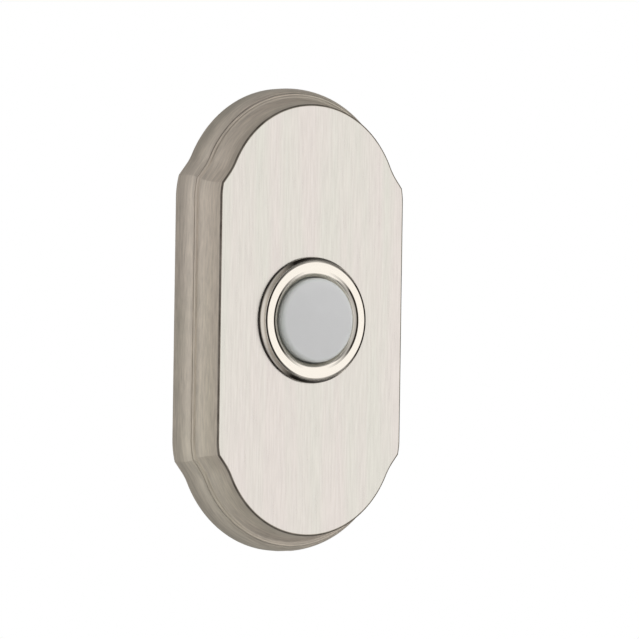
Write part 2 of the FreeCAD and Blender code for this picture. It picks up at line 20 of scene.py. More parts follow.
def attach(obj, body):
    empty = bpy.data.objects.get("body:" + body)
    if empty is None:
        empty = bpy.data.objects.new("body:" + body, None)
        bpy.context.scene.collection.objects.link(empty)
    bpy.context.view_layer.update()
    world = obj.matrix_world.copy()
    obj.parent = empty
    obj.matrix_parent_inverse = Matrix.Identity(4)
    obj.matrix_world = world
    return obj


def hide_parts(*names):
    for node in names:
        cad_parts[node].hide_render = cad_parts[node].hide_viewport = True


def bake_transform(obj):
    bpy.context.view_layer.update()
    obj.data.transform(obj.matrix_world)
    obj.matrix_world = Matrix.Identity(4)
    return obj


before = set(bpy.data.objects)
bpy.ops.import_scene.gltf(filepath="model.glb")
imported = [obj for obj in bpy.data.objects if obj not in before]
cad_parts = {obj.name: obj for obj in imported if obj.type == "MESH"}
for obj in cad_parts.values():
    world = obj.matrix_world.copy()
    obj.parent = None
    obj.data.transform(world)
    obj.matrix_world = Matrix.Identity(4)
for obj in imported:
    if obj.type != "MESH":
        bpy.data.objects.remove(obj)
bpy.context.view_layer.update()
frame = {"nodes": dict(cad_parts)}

LOG = logging.getLogger("push_button")
MM = 0.001
FIXED = "fixed_unit"
MOVING = "push_button"

Pair = tuple[float, float]
Triple = tuple[float, float, float]
# thickness of painted shade as a function of the angle round the axis
ShadePaint = Callable[[float], float]
Socket = bpy.types.NodeSocket

# parts of a noise texture's range that are stretched to a whole mask
BROAD_BAND = (0.38, 0.62)
CLOUD_BAND = (0.35, 0.68)
NOISE_BAND = (0.3, 0.7)
FINE_BAND = (0.25, 0.75)

BARE = (0.0, 0.0)
WHITE = (1.0, 1.0, 1.0)


class Grain(Enum):
    """How the brushing lines of a strip of surface lie on its grain map."""

    UPRIGHT = "upright"
    SWEPT = "swept"


class Coat(Enum):
    """Which of a piece's materials a strip of surface takes."""

    OUTER = 0
    INNER = 1
    MOULDED = 2


# Node tools


class Wiring:
    """A node tree with short calls to add and join its nodes."""

    def __init__(self, tree: bpy.types.NodeTree) -> None:
        """Keeps the tree that the calls add to."""
        self.tree = tree

    def plug(self, node: bpy.types.Node, inputs: dict) -> None:
        """Fills inputs of a node.

        Args:
            node: the node.
            inputs: values or output sockets, by the input's name or number.
        """
        for name, value in inputs.items():
            if isinstance(value, Socket):
                self.tree.links.new(value, node.inputs[name])
            else:
                node.inputs[name].default_value = value

    def add(self, kind: str, inputs: dict | None = None, **settings: object) -> bpy.types.Node:
        """Adds a node.

        Args:
            kind: the node's type name.
            inputs: values or output sockets for its inputs, by name or number.
            settings: the node's own properties.

        Returns:
            The new node.
        """
        node = self.tree.nodes.new(kind)
        for name, value in settings.items():
            setattr(node, name, value)
        self.plug(node, inputs or {})
        return node

    def group(self, tree: bpy.types.NodeTree, **inputs: object) -> bpy.types.NodeOutputs:
        """Places a shared effect.

        Args:
            tree: the effect's node group.
            inputs: values or sockets for its inputs.

        Returns:
            Its outputs, by name.
        """
        return self.add("ShaderNodeGroup", inputs, node_tree=tree).outputs

    def maths(
        self, operation: str, first: object, second: object = 0.0, clamp: bool = False
    ) -> Socket:
        """Adds a Math node.

        Args:
            operation: the node's operation.
            first: value or socket of the first input.
            second: value or socket of the second input.
            clamp: whether the result stays between 0 and 1.

        Returns:
            The result socket.
        """
        given = {0: first, 1: second}
        return self.add("ShaderNodeMath", given, operation=operation, use_clamp=clamp).outputs[0]

    def spread(self, value: object, source: Pair, target: Pair = (0.0, 1.0)) -> Socket:
        """Maps a value from one range to another, kept inside the second.

        Args:
            value: the value or socket to map.
            source: start and end of the first range.
            target: results at that start and end.

        Returns:
            The result socket.
        """
        given = dict(enumerate((value, *source, *target)))
        return self.add("ShaderNodeMapRange", given).outputs[0]

    def vary(self, mask: Socket, level: float, swing: Pair) -> Socket:
        """Lets a level go down and up with a noise mask.

        Args:
            mask: the mask.
            level: the level.
            swing: how far it goes down and up.

        Returns:
            The result socket.
        """
        return self.spread(mask, NOISE_BAND, (level - swing[0], level + swing[1]))

    def mix(self, share: object, first: object, second: object, blend: str = "MIX") -> Socket:
        """Mixes two colours.

        Args:
            share: share of the second colour.
            first: first colour or socket.
            second: second colour or socket.
            blend: the blend type.

        Returns:
            The colour socket.
        """
        ends = [end if isinstance(end, Socket) else (*end, 1.0) for end in (first, second)]
        given = {0: share, 6: ends[0], 7: ends[1]}
        return self.add("ShaderNodeMix", given, data_type="RGBA", blend_type=blend).outputs[2]

    def grey(self, level: Socket) -> Socket:
        """The same level in all three channels."""
        return self.add("ShaderNodeCombineXYZ", {0: level, 1: level, 2: level}).outputs[0]

    def noise(
        self,
        vector: Socket,
        scale: object,
        detail: float,
        roughness: float = 0.5,
        flat: bool = False,
    ) -> Socket:
        """Adds a noise texture.

        Args:
            vector: where it is read.
            scale: its scale, or a socket.
            detail: its octaves.
            roughness: how strong the finer octaves are.
            flat: whether it lies in the plane of the first two axes.

        Returns:
            The value socket.
        """
        given = {"Vector": vector, "Scale": scale, "Detail": detail, "Roughness": roughness}
        plane = "2D" if flat else "3D"
        return self.add("ShaderNodeTexNoise", given, noise_dimensions=plane).outputs[0]

    def relief(self, height: Socket, strength: float, depth: float) -> Socket:
        """Adds a Bump node.

        Args:
            height: the height mask.
            strength: the node's strength.
            depth: how deep the mask's whole range is.

        Returns:
            The normal socket.
        """
        given = {"Strength": strength, "Distance": depth * MM, "Height": height}
        return self.add("ShaderNodeBump", given).outputs[0]

    def place(self) -> Socket:
        """The piece's own coordinates."""
        return self.add("ShaderNodeTexCoord").outputs["Object"]

    def seen(self) -> Socket:
        """Whether a ray comes from the camera, straight or through something clear."""
        path = self.add("ShaderNodeLightPath").outputs
        return self.maths("MAXIMUM", path["Is Camera Ray"], path["Is Transmission Ray"])


class Effects:
    """The shader node groups that several finishes share, each built once."""

    @staticmethod
    def _start(name: str, inputs: dict[str, float | None], outputs: tuple[str, ...]) -> Wiring:
        """Starts a group with named sockets.

        Args:
            name: the group's name.
            inputs: default of each number, and None for each vector.
            outputs: names of the masks that it puts out.

        Returns:
            The wiring of the new group.
        """
        tree = bpy.data.node_groups.new(name, "ShaderNodeTree")
        for label, default in inputs.items():
            kind = "NodeSocketVector" if default is None else "NodeSocketFloat"
            socket = tree.interface.new_socket(label, in_out="INPUT", socket_type=kind)
            if default is not None:
                socket.default_value = default
        for label in outputs:
            tree.interface.new_socket(label, in_out="OUTPUT", socket_type="NodeSocketFloat")
        return Wiring(tree)

    @staticmethod
    @cache
    def streaks() -> bpy.types.NodeTree:
        """Brushing lines: a fine and a broad mask, stretched along the vector's second axis.

        Returns:
            The node group.
        """
        inputs = {"Vector": None, "Across": 4000.0, "Along": 120.0}
        wires = Effects._start("brushing_streaks", inputs, ("Fine", "Broad"))
        given = wires.add("NodeGroupInput").outputs
        scale = wires.add("ShaderNodeCombineXYZ", {0: given["Across"], 1: given["Along"]})
        ends = {0: given["Vector"], 1: scale.outputs[0]}
        stretched = wires.add("ShaderNodeVectorMath", ends, operation="MULTIPLY").outputs[0]
        fine = wires.noise(stretched, 1.0, 4.0, 0.65, flat=True)
        broad = wires.noise(stretched, 0.08, 2.0, flat=True)
        wires.add("NodeGroupOutput", {"Fine": fine, "Broad": broad})
        return wires.tree

    @staticmethod
    @cache
    def grit() -> bpy.types.NodeTree:
        """Speckle of moulded, cast or plated surfaces: a fine height and a cloudy mask.

        Returns:
            The node group.
        """
        inputs = {"Vector": None, "Scale": 3000.0}
        wires = Effects._start("surface_grit", inputs, ("Height", "Cloud"))
        given = wires.add("NodeGroupInput").outputs
        slow = wires.maths("MULTIPLY", given["Scale"], 0.12)
        height = wires.noise(given["Vector"], given["Scale"], 3.0)
        cloud = wires.noise(given["Vector"], slow, 4.0)
        wires.add("NodeGroupOutput", {"Height": height, "Cloud": cloud})
        return wires.tree

    @staticmethod
    @cache
    def painted_shade() -> bpy.types.NodeTree:
        """Painted shade and painted dark reflection: a mask from the piece's own shade mark, broken
        up by noise.

        Returns:
            The node group.
        """
        inputs = {"Recess": 0.0, "Vector": None, "Amount": 0.6}
        wires = Effects._start("corner_painted_shade", inputs, ("Mask",))
        given = wires.add("NodeGroupInput").outputs
        broken = wires.spread(wires.noise(given["Vector"], 420.0, 3.0), NOISE_BAND, (0.7, 1.0))
        held = wires.maths("MULTIPLY", given["Recess"], broken)
        mask = wires.maths("MULTIPLY", held, given["Amount"], clamp=True)
        wires.add("NodeGroupOutput", {"Mask": mask})
        return wires.tree


# Finishes


def surface(name: str) -> tuple[bpy.types.Material, Wiring, bpy.types.Node]:
    """Starts a material with one Principled shader.

    Args:
        name: the material's name.

    Returns:
        The material, its wiring and the shader node.
    """
    material = bpy.data.materials.new(name)
    material.use_nodes = True
    material.node_tree.nodes.clear()
    wires = Wiring(material.node_tree)
    shader = wires.add("ShaderNodeBsdfPrincipled")
    wires.add("ShaderNodeOutputMaterial", {"Surface": shader.outputs[0]})
    return material, wires, shader


@dataclass(frozen=True)
class BrushedMetal:
    """Metal with brushing or turning lines along its grain map, and painted shade on its shade
    mark.
    """

    name: str
    colour: Triple
    cool_tint: Triple
    warm_tint: Triple
    roughness: float
    across: float
    along: float
    fine_depth: float
    bump: float = 0.05
    rough_swing: Pair = (0.03, 0.04)
    painted_shade_colour: Triple = (0.09, 0.075, 0.06)
    painted_shade_amount: float = 0.9
    painted_shade_rough: float = 0.2

    def material(self) -> bpy.types.Material:
        """Builds the material on the grain map and the painted shade mark.

        Returns:
            The new material.
        """
        material, wires, shader = surface(self.name)
        grain = wires.add("ShaderNodeUVMap", uv_map="grain").outputs[0]
        lines = wires.group(Effects.streaks(), Vector=grain, Across=self.across, Along=self.along)
        tint = wires.mix(wires.spread(lines["Broad"], BROAD_BAND), self.cool_tint, self.warm_tint)
        base = wires.mix(1.0, self.colour, tint, "MULTIPLY")
        depths = (1.0 - self.fine_depth, 1.0 + self.fine_depth)
        shade = wires.spread(lines["Fine"], FINE_BAND, depths)
        lined = wires.mix(1.0, base, wires.grey(shade), "MULTIPLY")

        # painted shade and painted dark reflection: the colour darkens where the shade mark lies
        shade_mark = wires.add("ShaderNodeAttribute", attribute_name="shade_mark").outputs["Fac"]
        shade_paint = wires.group(
            Effects.painted_shade(), Recess=shade_mark, Vector=wires.place(), Amount=self.painted_shade_amount
        )["Mask"]
        rough = wires.vary(lines["Fine"], self.roughness, self.rough_swing)
        rougher = wires.maths("MULTIPLY", shade_paint, self.painted_shade_rough)
        look = {
            "Base Color": wires.mix(shade_paint, lined, self.painted_shade_colour),
            "Roughness": wires.maths("ADD", rough, rougher),
            "Metallic": 1.0,
            "Normal": wires.relief(lines["Fine"], self.bump, 0.03),
        }
        wires.plug(shader, look)
        return material


@dataclass(frozen=True)
class GrittyFinish:
    """Cast, plated, moulded or painted surface with a speckle on object coordinates."""

    name: str
    colour: Triple
    patch: Triple
    roughness: float
    metallic: float
    scale: float
    bump: float
    coat: float = 0.0
    stretch: Triple = (1.0, 1.0, 1.0)
    rough_swing: Pair = (0.05, 0.07)

    def material(self) -> bpy.types.Material:
        """Builds the material on object coordinates.

        Returns:
            The new material.
        """
        material, wires, shader = surface(self.name)
        scaled = {"Vector": wires.place(), "Scale": self.stretch}
        place = wires.add("ShaderNodeMapping", scaled).outputs[0]
        grit = wires.group(Effects.grit(), Vector=place, Scale=self.scale)
        cloud = wires.spread(grit["Cloud"], CLOUD_BAND)
        look = {
            "Base Color": wires.mix(cloud, self.colour, self.patch),
            "Roughness": wires.vary(grit["Height"], self.roughness, self.rough_swing),
            "Metallic": self.metallic,
            "Coat Weight": self.coat,
            "Normal": wires.relief(grit["Height"], self.bump, 0.05),
        }
        wires.plug(shader, look)
        return material


@dataclass(frozen=True)
class MilkyPlastic:
    """Translucent white plastic of the cap, a little greener towards its rim, and brighter there
    with painted light.
    """

    name: str = "milky_cap"
    centre: Triple = (0.495, 0.495, 0.495)
    rim: Triple = (0.51, 0.525, 0.51)
    rim_band: Pair = (6.1 * MM, 6.85 * MM)
    cloud: Triple = (0.56, 0.57, 0.57)
    cloud_share: float = 0.05
    scale: float = 1600.0
    roughness: float = 0.32
    rough_swing: Pair = (0.03, 0.05)

    def material(self) -> bpy.types.Material:
        """Builds the material on the distance from the button's axis.

        Returns:
            The new material.
        """
        material, wires, shader = surface(self.name)
        place = wires.place()
        flat = wires.add("ShaderNodeMapping", {"Vector": place, "Scale": (1.0, 0.0, 1.0)})
        away = wires.add("ShaderNodeVectorMath", {0: flat.outputs[0]}, operation="LENGTH")
        edge = wires.spread(away.outputs["Value"], self.rim_band)
        grit = wires.group(Effects.grit(), Vector=place, Scale=self.scale)
        # painted light: the colour lightens towards the edge, lifting the shade beside the ring
        lit_edge_colour = wires.mix(edge, self.centre, self.rim)
        cloud = wires.spread(grit["Cloud"], NOISE_BAND, (0.0, self.cloud_share))
        look = {
            "Base Color": wires.mix(cloud, lit_edge_colour, self.cloud),
            "Roughness": wires.vary(grit["Height"], self.roughness, self.rough_swing),
            "Subsurface Weight": 0.8,
            "Subsurface Radius": (1.0, 1.0, 1.0),
            "Subsurface Scale": 0.0025,
            "IOR": 1.49,
            "Normal": wires.relief(grit["Height"], 0.03, 0.03),
        }
        wires.plug(shader, look)
        return material


@dataclass(frozen=True)
class LampLens:
    """Clear tinted resin of the lamp, with a faint cloud inside."""

    name: str = "lamp_lens"
    colour: Triple = (0.95, 0.86, 0.62)
    cloud: Triple = (1.0, 0.95, 0.8)
    scale: float = 2500.0
    roughness: Pair = (0.06, 0.14)

    def material(self) -> bpy.types.Material:
        """Builds the glassy material.

        Returns:
            The new material.
        """
        material, wires, shader = surface(self.name)
        grit = wires.group(Effects.grit(), Vector=wires.place(), Scale=self.scale)
        cloud = wires.spread(grit["Cloud"], NOISE_BAND)
        look = {
            "Base Color": wires.mix(cloud, self.colour, self.cloud),
            "Roughness": wires.spread(cloud, (0.0, 1.0), self.roughness),
            "Transmission Weight": 0.85,
            "IOR": 1.5,
        }
        wires.plug(shader, look)
        return material


@dataclass(frozen=True)
class BandedLacquer:
    """Lacquered resistor body with four code bands along the upright."""

    name: str = "resistor_lacquer"
    colour: Triple = (0.62, 0.45, 0.27)
    cloud: Triple = (0.7, 0.55, 0.36)
    cloud_share: float = 0.4
    scale: float = 3500.0
    roughness: Pair = (0.25, 0.38)
    bands: tuple[tuple[float, Triple], ...] = (
        (-1.05, (0.30, 0.10, 0.03)),
        (-0.45, (0.02, 0.02, 0.02)),
        (0.10, (0.55, 0.06, 0.03)),
        (0.95, (0.55, 0.38, 0.08)),
    )
    half_band: float = 0.14

    def material(self) -> bpy.types.Material:
        """Builds the material on the height along the resistor.

        Returns:
            The new material.
        """
        material, wires, shader = surface(self.name)
        place = wires.place()
        height = wires.add("ShaderNodeSeparateXYZ", {0: place}).outputs[2]
        grit = wires.group(Effects.grit(), Vector=place, Scale=self.scale)
        cloud = wires.spread(grit["Cloud"], NOISE_BAND, (0.0, self.cloud_share))
        colour = wires.mix(cloud, self.colour, self.cloud)
        for centre, paint in self.bands:
            away = wires.maths("ABSOLUTE", wires.maths("SUBTRACT", height, centre * MM))
            band = wires.maths("LESS_THAN", away, self.half_band * MM)
            colour = wires.mix(band, colour, paint)
        rough = wires.spread(grit["Height"], NOISE_BAND, self.roughness)
        wires.plug(shader, {"Base Color": colour, "Roughness": rough})
        return material


SATIN_NICKEL = BrushedMetal(
    "satin_nickel", (0.790, 0.741, 0.692), (0.972, 1.0, 0.972), (1.0, 0.985, 0.985), 0.30,
    across=2500.0, along=150.0, fine_depth=0.10,
)
MOULDED_NICKEL = BrushedMetal(
    "satin_moulding", (0.75, 0.68, 0.595), (0.98, 0.99, 0.96), (1.0, 0.99, 0.985), 0.58,
    across=2300.0, along=260.0, fine_depth=0.16, bump=0.12,
)
# the ring's painted shade colour is near black, for painted dark reflections round its edges and
# painted shade at its foot
POLISHED_NICKEL = BrushedMetal(
    "polished_nickel", (0.915, 0.855, 0.765), (1.0, 1.0, 1.0), (1.0, 0.99, 0.98), 0.10,
    across=2600.0, along=25.0, fine_depth=0.015, bump=0.02,
    painted_shade_colour=(0.03, 0.024, 0.018), painted_shade_amount=1.4,
)
# name, colour, patches, roughness, metallic, speckle scale, bump
CAST_INSIDE = GrittyFinish(
    "cast_inside", (0.42, 0.39, 0.35), (0.33, 0.30, 0.27), 0.55, 1.0, 1400.0, 0.5
)
BLACK_RUBBER = GrittyFinish(
    "black_rubber", (0.018, 0.018, 0.018), (0.028, 0.027, 0.026), 0.7, 0.0, 4000.0, 0.2
)
ZINC_STEEL = GrittyFinish(
    "zinc_steel", (0.60, 0.60, 0.57), (0.52, 0.54, 0.50), 0.36, 1.0, 1500.0, 0.15
)
TURNED_BRASS = GrittyFinish(
    "turned_brass", (0.75, 0.55, 0.26), (0.71, 0.51, 0.24), 0.28, 1.0, 2600.0, 0.06,
    stretch=(1.0, 6.0, 1.0),
)
WHITE_PLASTIC = GrittyFinish(
    "white_plastic", (0.74, 0.73, 0.70), (0.68, 0.67, 0.64), 0.42, 0.0, 2600.0, 0.08
)
CONTACT_BRASS = GrittyFinish(
    "contact_brass", (0.72, 0.53, 0.25), (0.58, 0.40, 0.18), 0.32, 1.0, 2800.0, 0.12
)
SPRING_STEEL = GrittyFinish(
    "spring_steel", (0.50, 0.50, 0.49), (0.40, 0.40, 0.39), 0.28, 1.0, 3200.0, 0.1
)
BLACK_PLASTIC = GrittyFinish(
    "black_plastic", (0.022, 0.022, 0.023), (0.034, 0.033, 0.032), 0.45, 0.0, 2400.0, 0.16
)
BOARD_LAMINATE = GrittyFinish(
    "board_laminate", (0.03, 0.16, 0.07), (0.05, 0.21, 0.09), 0.4, 0.0, 5200.0, 0.1, coat=0.3
)
TINNED_WIRE = GrittyFinish(
    "tinned_wire", (0.72, 0.72, 0.70), (0.62, 0.62, 0.59), 0.25, 1.0, 4200.0, 0.1
)


# Mesh tools


@dataclass
class Strip:
    """One row of points round a piece, and how the surface goes on from it.

    Attributes:
        points: the row's points as (x, s, z).
        reach: distance along the profile, for the grain map.
        shade_mark: how thick the painted shade lies on each point, from 0 to 1.
        sharp: whether the row is a crease.
        grain: how the grain lies on the surface up to the next row.
        coat: the material of the surface up to the next row.
    """

    points: list[Triple]
    reach: float
    shade_mark: list[float]
    sharp: bool = False
    grain: Grain = Grain.SWEPT
    coat: Coat = Coat.OUTER


def place_point(point: Triple) -> Vector:
    """The scene's place of an (x, s, z) point."""
    return Vector((point[0] * MM, -point[1] * MM, point[2] * MM))


def put(name: str, data: bpy.types.ID) -> bpy.types.Object:
    """Puts an object in the scene.

    Args:
        name: its name.
        data: its mesh, lamp or camera.

    Returns:
        The new object.
    """
    item = bpy.data.objects.new(name, data)
    bpy.context.scene.collection.objects.link(item)
    return item


def put_shape(name: str, shape: bmesh.types.BMesh) -> bpy.types.Object:
    """Puts a finished edit mesh in the scene and frees it.

    Args:
        name: the object's name.
        shape: the edit mesh.

    Returns:
        The new object.
    """
    mesh = bpy.data.meshes.new(name)
    shape.to_mesh(mesh)
    shape.free()
    return put(name, mesh)


def loft_rows(
    name: str, rows: list[Strip], run: list[float], closed: bool, creases: frozenset[int]
) -> bpy.types.Object:
    """Skins a piece from rows of points with equal counts.

    Args:
        name: the piece's name.
        rows: the rows, in order along the profile.
        run: distance round the piece at each column, with the full length last.
        closed: whether the last row joins the first.
        creases: columns whose edges are sharp all along the profile.

    Returns:
        The new object.
    """
    shape = bmesh.new()
    grain_map = shape.loops.layers.uv.new("grain")
    # each point's thickness of painted shade, by which the metals darken
    shade_mark = shape.verts.layers.float.new("shade_mark")
    count = len(rows[0].points)
    grid = []
    for row in rows:
        pole = len(set(row.points)) == 1
        line = [shape.verts.new(place_point(point)) for point in row.points[: 1 if pole else count]]
        for vert, mark in zip(line, row.shade_mark):
            vert[shade_mark] = mark
        grid.append(line * count if pole else line)

    span = len(rows) if closed else len(rows) - 1
    creased = []
    for i in range(span):
        j = (i + 1) % len(rows)
        row, after = rows[i], rows[j]
        # a closed profile ends where it began, so its last strip has one reach
        last_reach = after.reach if j > i else row.reach
        for k in range(count):
            m = (k + 1) % count
            kept = {}
            for vert, strip, column, reach, distance in (
                (grid[i][k], row, k, row.reach, run[k]),
                (grid[i][m], row, m, row.reach, run[k + 1]),
                (grid[j][m], after, m, last_reach, run[k + 1]),
                (grid[j][k], after, k, last_reach, run[k]),
            ):
                x, _, z = strip.points[column]
                upright = row.grain is Grain.UPRIGHT
                # at a pole two corners share a vertex, which the face takes once
                kept.setdefault(vert, (x, z) if upright else (reach, distance))
            face = shape.faces.new(list(kept))
            face.material_index = row.coat.value
            face.smooth = True
            for loop, (across, along) in zip(face.loops, kept.values()):
                loop[grain_map].uv = (across * MM, along * MM)
            if k in creases:
                creased.append((grid[i][k], grid[j][k]))
    for line, row in zip(grid, rows):
        if row.sharp:
            creased += zip(line, line[1:] + line[:1])
    for ends in creased:
        shape.edges.get(ends).smooth = False
    bmesh.ops.recalc_face_normals(shape, faces=shape.faces)
    return put_shape(name, shape)


@dataclass
class Turning:
    """A profile turned about the button's axis.

    Attributes:
        segments: columns round the axis.
        rows: the rows so far.
    """

    segments: int = 192
    rows: list[Strip] = field(default_factory=list)

    def go(self, radius: float, s: float, sharp: bool = True, shade_paint: ShadePaint | float = 0.0) -> None:
        """Adds a point of the profile.

        Args:
            radius: distance from the axis.
            s: height above the wall.
            sharp: whether the profile has a corner there.
            shade_paint: how thick the painted shade lies there, or a function of the angle round
                the axis.
        """
        angles = [2 * math.pi / self.segments * k for k in range(self.segments)]
        points = [(radius * math.cos(angle), s, radius * math.sin(angle)) for angle in angles]
        if radius == 0:
            points = [(0.0, s, 0.0)] * self.segments
        reach = 0.0
        if self.rows:
            last = self.rows[-1]
            reach = last.reach + math.hypot(radius - self._radius(last), s - last.points[0][1])
        marks = [shade_paint(angle) if callable(shade_paint) else shade_paint for angle in angles]
        self.rows.append(Strip(points, reach, marks, sharp))

    @staticmethod
    def _radius(row: Strip) -> float:
        """The radius of a row."""
        return math.hypot(row.points[0][0], row.points[0][2])

    def bend(
        self,
        centre: Pair,
        radius: float,
        angles: Pair,
        steps: int,
        shade_paint: ShadePaint | None = None,
        reach: float = 0.3,
    ) -> None:
        """Adds a round between two corners that are in the profile already or come next.

        Args:
            centre: the round's centre as (radius, s).
            radius: the round's radius.
            angles: angles of its first and last point in degrees.
            steps: how many parts it has.
            shade_paint: painted shade beside the front, as a function of the angle round the axis.
            reach: how far from the front's edge the painted shade goes.
        """
        start, end = angles
        for i in range(steps + 1):
            angle = math.radians(start + (end - start) * i / steps)
            aside = abs(radius * math.cos(angle))
            # the painted shade keeps its thickness over three quarters of its reach
            share = max(0.0, min(1.0, (reach - aside) / (0.25 * reach)))
            mark = self._thinned(shade_paint, share) if shade_paint else 0.0
            x, s = centre[0] + radius * math.cos(angle), centre[1] + radius * math.sin(angle)
            self.go(x, s, False, mark)

    @staticmethod
    def _thinned(shade_paint: ShadePaint, share: float) -> ShadePaint:
        """A painted shade that lies thinner by a share."""
        return lambda turn: share * shade_paint(turn)

    def skin(self, name: str, closed: bool) -> bpy.types.Object:
        """Makes the piece.

        Args:
            name: its name.
            closed: whether the profile joins up with its start.

        Returns:
            The new object.
        """
        widest = max(self._radius(row) for row in self.rows)
        run = [2 * math.pi * widest * k / self.segments for k in range(self.segments + 1)]
        return loft_rows(name, self.rows, run, closed, frozenset())


def bake_modifiers(piece: bpy.types.Object) -> None:
    """Gives a piece the plain mesh that its modifiers make, and removes them."""
    graph = bpy.context.evaluated_depsgraph_get()
    graph.update()
    baked = bpy.data.meshes.new_from_object(piece.evaluated_get(graph), depsgraph=graph)
    piece.modifiers.clear()
    piece.data = baked


def crease_by_angle(mesh: bpy.types.Mesh, degrees: float) -> None:
    """Marks edges as sharp where their faces meet at more than an angle.

    Args:
        mesh: the mesh.
        degrees: the angle.
    """
    shape = bmesh.new()
    shape.from_mesh(mesh)
    for edge in shape.edges:
        if len(edge.link_faces) == 2 and edge.calc_face_angle() > math.radians(degrees):
            edge.smooth = False
    shape.to_mesh(mesh)
    shape.free()


def finish_piece(
    piece: bpy.types.Object, body: str, node: str, finishes: list[bpy.types.Material]
) -> None:
    """Gives a piece its materials and its place on the frame.

    Args:
        piece: the object.
        body: the CAD body it rides on.
        node: the CAD node it stands for.
        finishes: its materials, in slot order.
    """
    # clearing the slots would send every face back to the first, so they are filled in place
    slots = piece.data.materials
    for index, finish in enumerate(finishes):
        if index < len(slots):
            slots[index] = finish
        else:
            slots.append(finish)
    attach(piece, body)
    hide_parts(node)
    used = [face.material_index for face in piece.data.polygons]
    counts = [used.count(index) for index in range(len(finishes))]
    LOG.info("%s: faces per finish %s on %s", piece.name, counts, body)


# The plate


@dataclass
class PlateOutline:
    """The arch-ended outline with its sharp shoulders, at any distance outside the flat face.

    Attributes:
        half_width: half the face's width.
        half_height: half the face's height.
        arch_share: radius of the round ends, as a share of the half width, as are the next three.
        shoulder_share: from the top of the face down to the sharp corner.
        hollow_share: radius of the hollow above the shoulder.
        ease_share: radius of the ease of the long sides.
        shoulder_tilt: degrees from upright where the shoulder leaves its corner.
        ease_turn: degrees that the ease turns.
        steps: columns on the flank, ease, shoulder line, hollow and round end of a quarter.
    """

    half_width: float = 17.5
    half_height: float = 34.95
    arch_share: float = 0.937
    shoulder_share: float = 0.746
    hollow_share: float = 0.657
    ease_share: float = 0.629
    shoulder_tilt: float = 38.0
    ease_turn: float = 12.0
    steps: tuple[int, int, int, int, int] = (8, 8, 6, 14, 34)

    def quarter(self, offset: float) -> list[Pair]:
        """The upper right quarter from the middle of the flank to just before the top.

        Args:
            offset: distance outside the face's outline.

        Returns:
            The points as (x, z).
        """
        arch_r = self.arch_share * self.half_width
        hollow_r = self.hollow_share * self.half_width
        ease_r = self.ease_share * self.half_width
        shoulder_z = self.half_height - self.shoulder_share * self.half_width
        tilt, turn = math.radians(self.shoulder_tilt), math.radians(self.ease_turn)
        along = Vector((-math.sin(tilt), math.cos(tilt)))
        out = Vector((math.cos(tilt), math.sin(tilt)))
        ease = Vector((self.half_width - ease_r, shoulder_z - ease_r * math.sin(turn)))
        corner = Vector((ease.x + ease_r * math.cos(turn), shoulder_z))
        arch = Vector((0.0, self.half_height - arch_r))

        # the hollow touches the shoulder line and the round end
        start = corner + hollow_r * out - arch
        run = self._crossing(start, along, arch_r + hollow_r)
        hollow = start + run * along + arch
        # the shoulder line, moved outwards, starts where it meets the widened ease
        shifted = corner + offset * out - ease
        tip = ease + shifted + self._crossing(shifted, along, ease_r + offset) * along
        foot = corner + offset * out + run * along
        join = arch + (hollow - arch).normalized() * (arch_r + offset)

        flank, easing, line, hollowing, arching = self.steps
        points = [(self.half_width + offset, ease.y * i / flank) for i in range(flank)]
        points += self._arc(ease, ease_r + offset, Vector((1, 0)), tip - ease, easing)
        points += [tuple(tip.lerp(foot, i / line)) for i in range(line)]
        points += self._arc(hollow, hollow_r - offset, foot - hollow, join - hollow, hollowing)
        points += self._arc(arch, arch_r + offset, join - arch, Vector((0, 1)), arching)
        return points

    @staticmethod
    def _crossing(start: Vector, along: Vector, radius: float) -> float:
        """The shorter way along a line to a circle round the origin.

        Args:
            start: the line's start.
            along: its direction.
            radius: the circle's radius.

        Returns:
            The distance from the start, negative if it lies behind.
        """
        half = start.dot(along)
        root = math.sqrt(half * half - start.dot(start) + radius**2)
        return min(-half - root, -half + root, key=abs)

    @staticmethod
    def _arc(centre: Vector, radius: float, first: Vector, last: Vector, steps: int) -> list[Pair]:
        """Points along an arc, without its last one.

        Args:
            centre: the arc's centre.
            radius: its radius.
            first: direction of its start.
            last: direction of its end.
            steps: how many points.

        Returns:
            The points.
        """
        begin = math.atan2(first.y, first.x)
        sweep = (math.atan2(last.y, last.x) - begin + math.pi) % (2 * math.pi) - math.pi
        angles = [begin + sweep * i / steps for i in range(steps)]
        return [
            (centre.x + radius * math.cos(angle), centre.y + radius * math.sin(angle))
            for angle in angles
        ]

    def whole(self, offset: float) -> list[Pair]:
        """The closed outline, counterclockwise from the middle of the right flank.

        Args:
            offset: distance outside the face's outline.

        Returns:
            The points as (x, z).
        """
        quarter = self.quarter(offset)
        top = (0.0, self.half_height + offset)
        left = [(-x, z) for x, z in quarter[:0:-1]]
        upper = quarter + [top] + left
        return upper + [(-quarter[0][0], 0.0)] + [(-x, -z) for x, z in upper[1:]]

    def corners(self) -> frozenset[int]:
        """Columns of the four sharp shoulder corners."""
        tip = sum(self.steps[:2])
        half = 2 * sum(self.steps)
        return frozenset({tip, half - tip, half + tip, 2 * half - tip})


def quarter_turn(steps: int, first: int = 0) -> Iterator[tuple[int, float, float]]:
    """Steps through a quarter turn.

    Args:
        steps: how many parts it has.
        first: the step to begin with.

    Yields:
        Number, sine and cosine of each step.
    """
    for i in range(first, steps + 1):
        angle = math.radians(90 * i / steps)
        yield i, math.sin(angle), math.cos(angle)


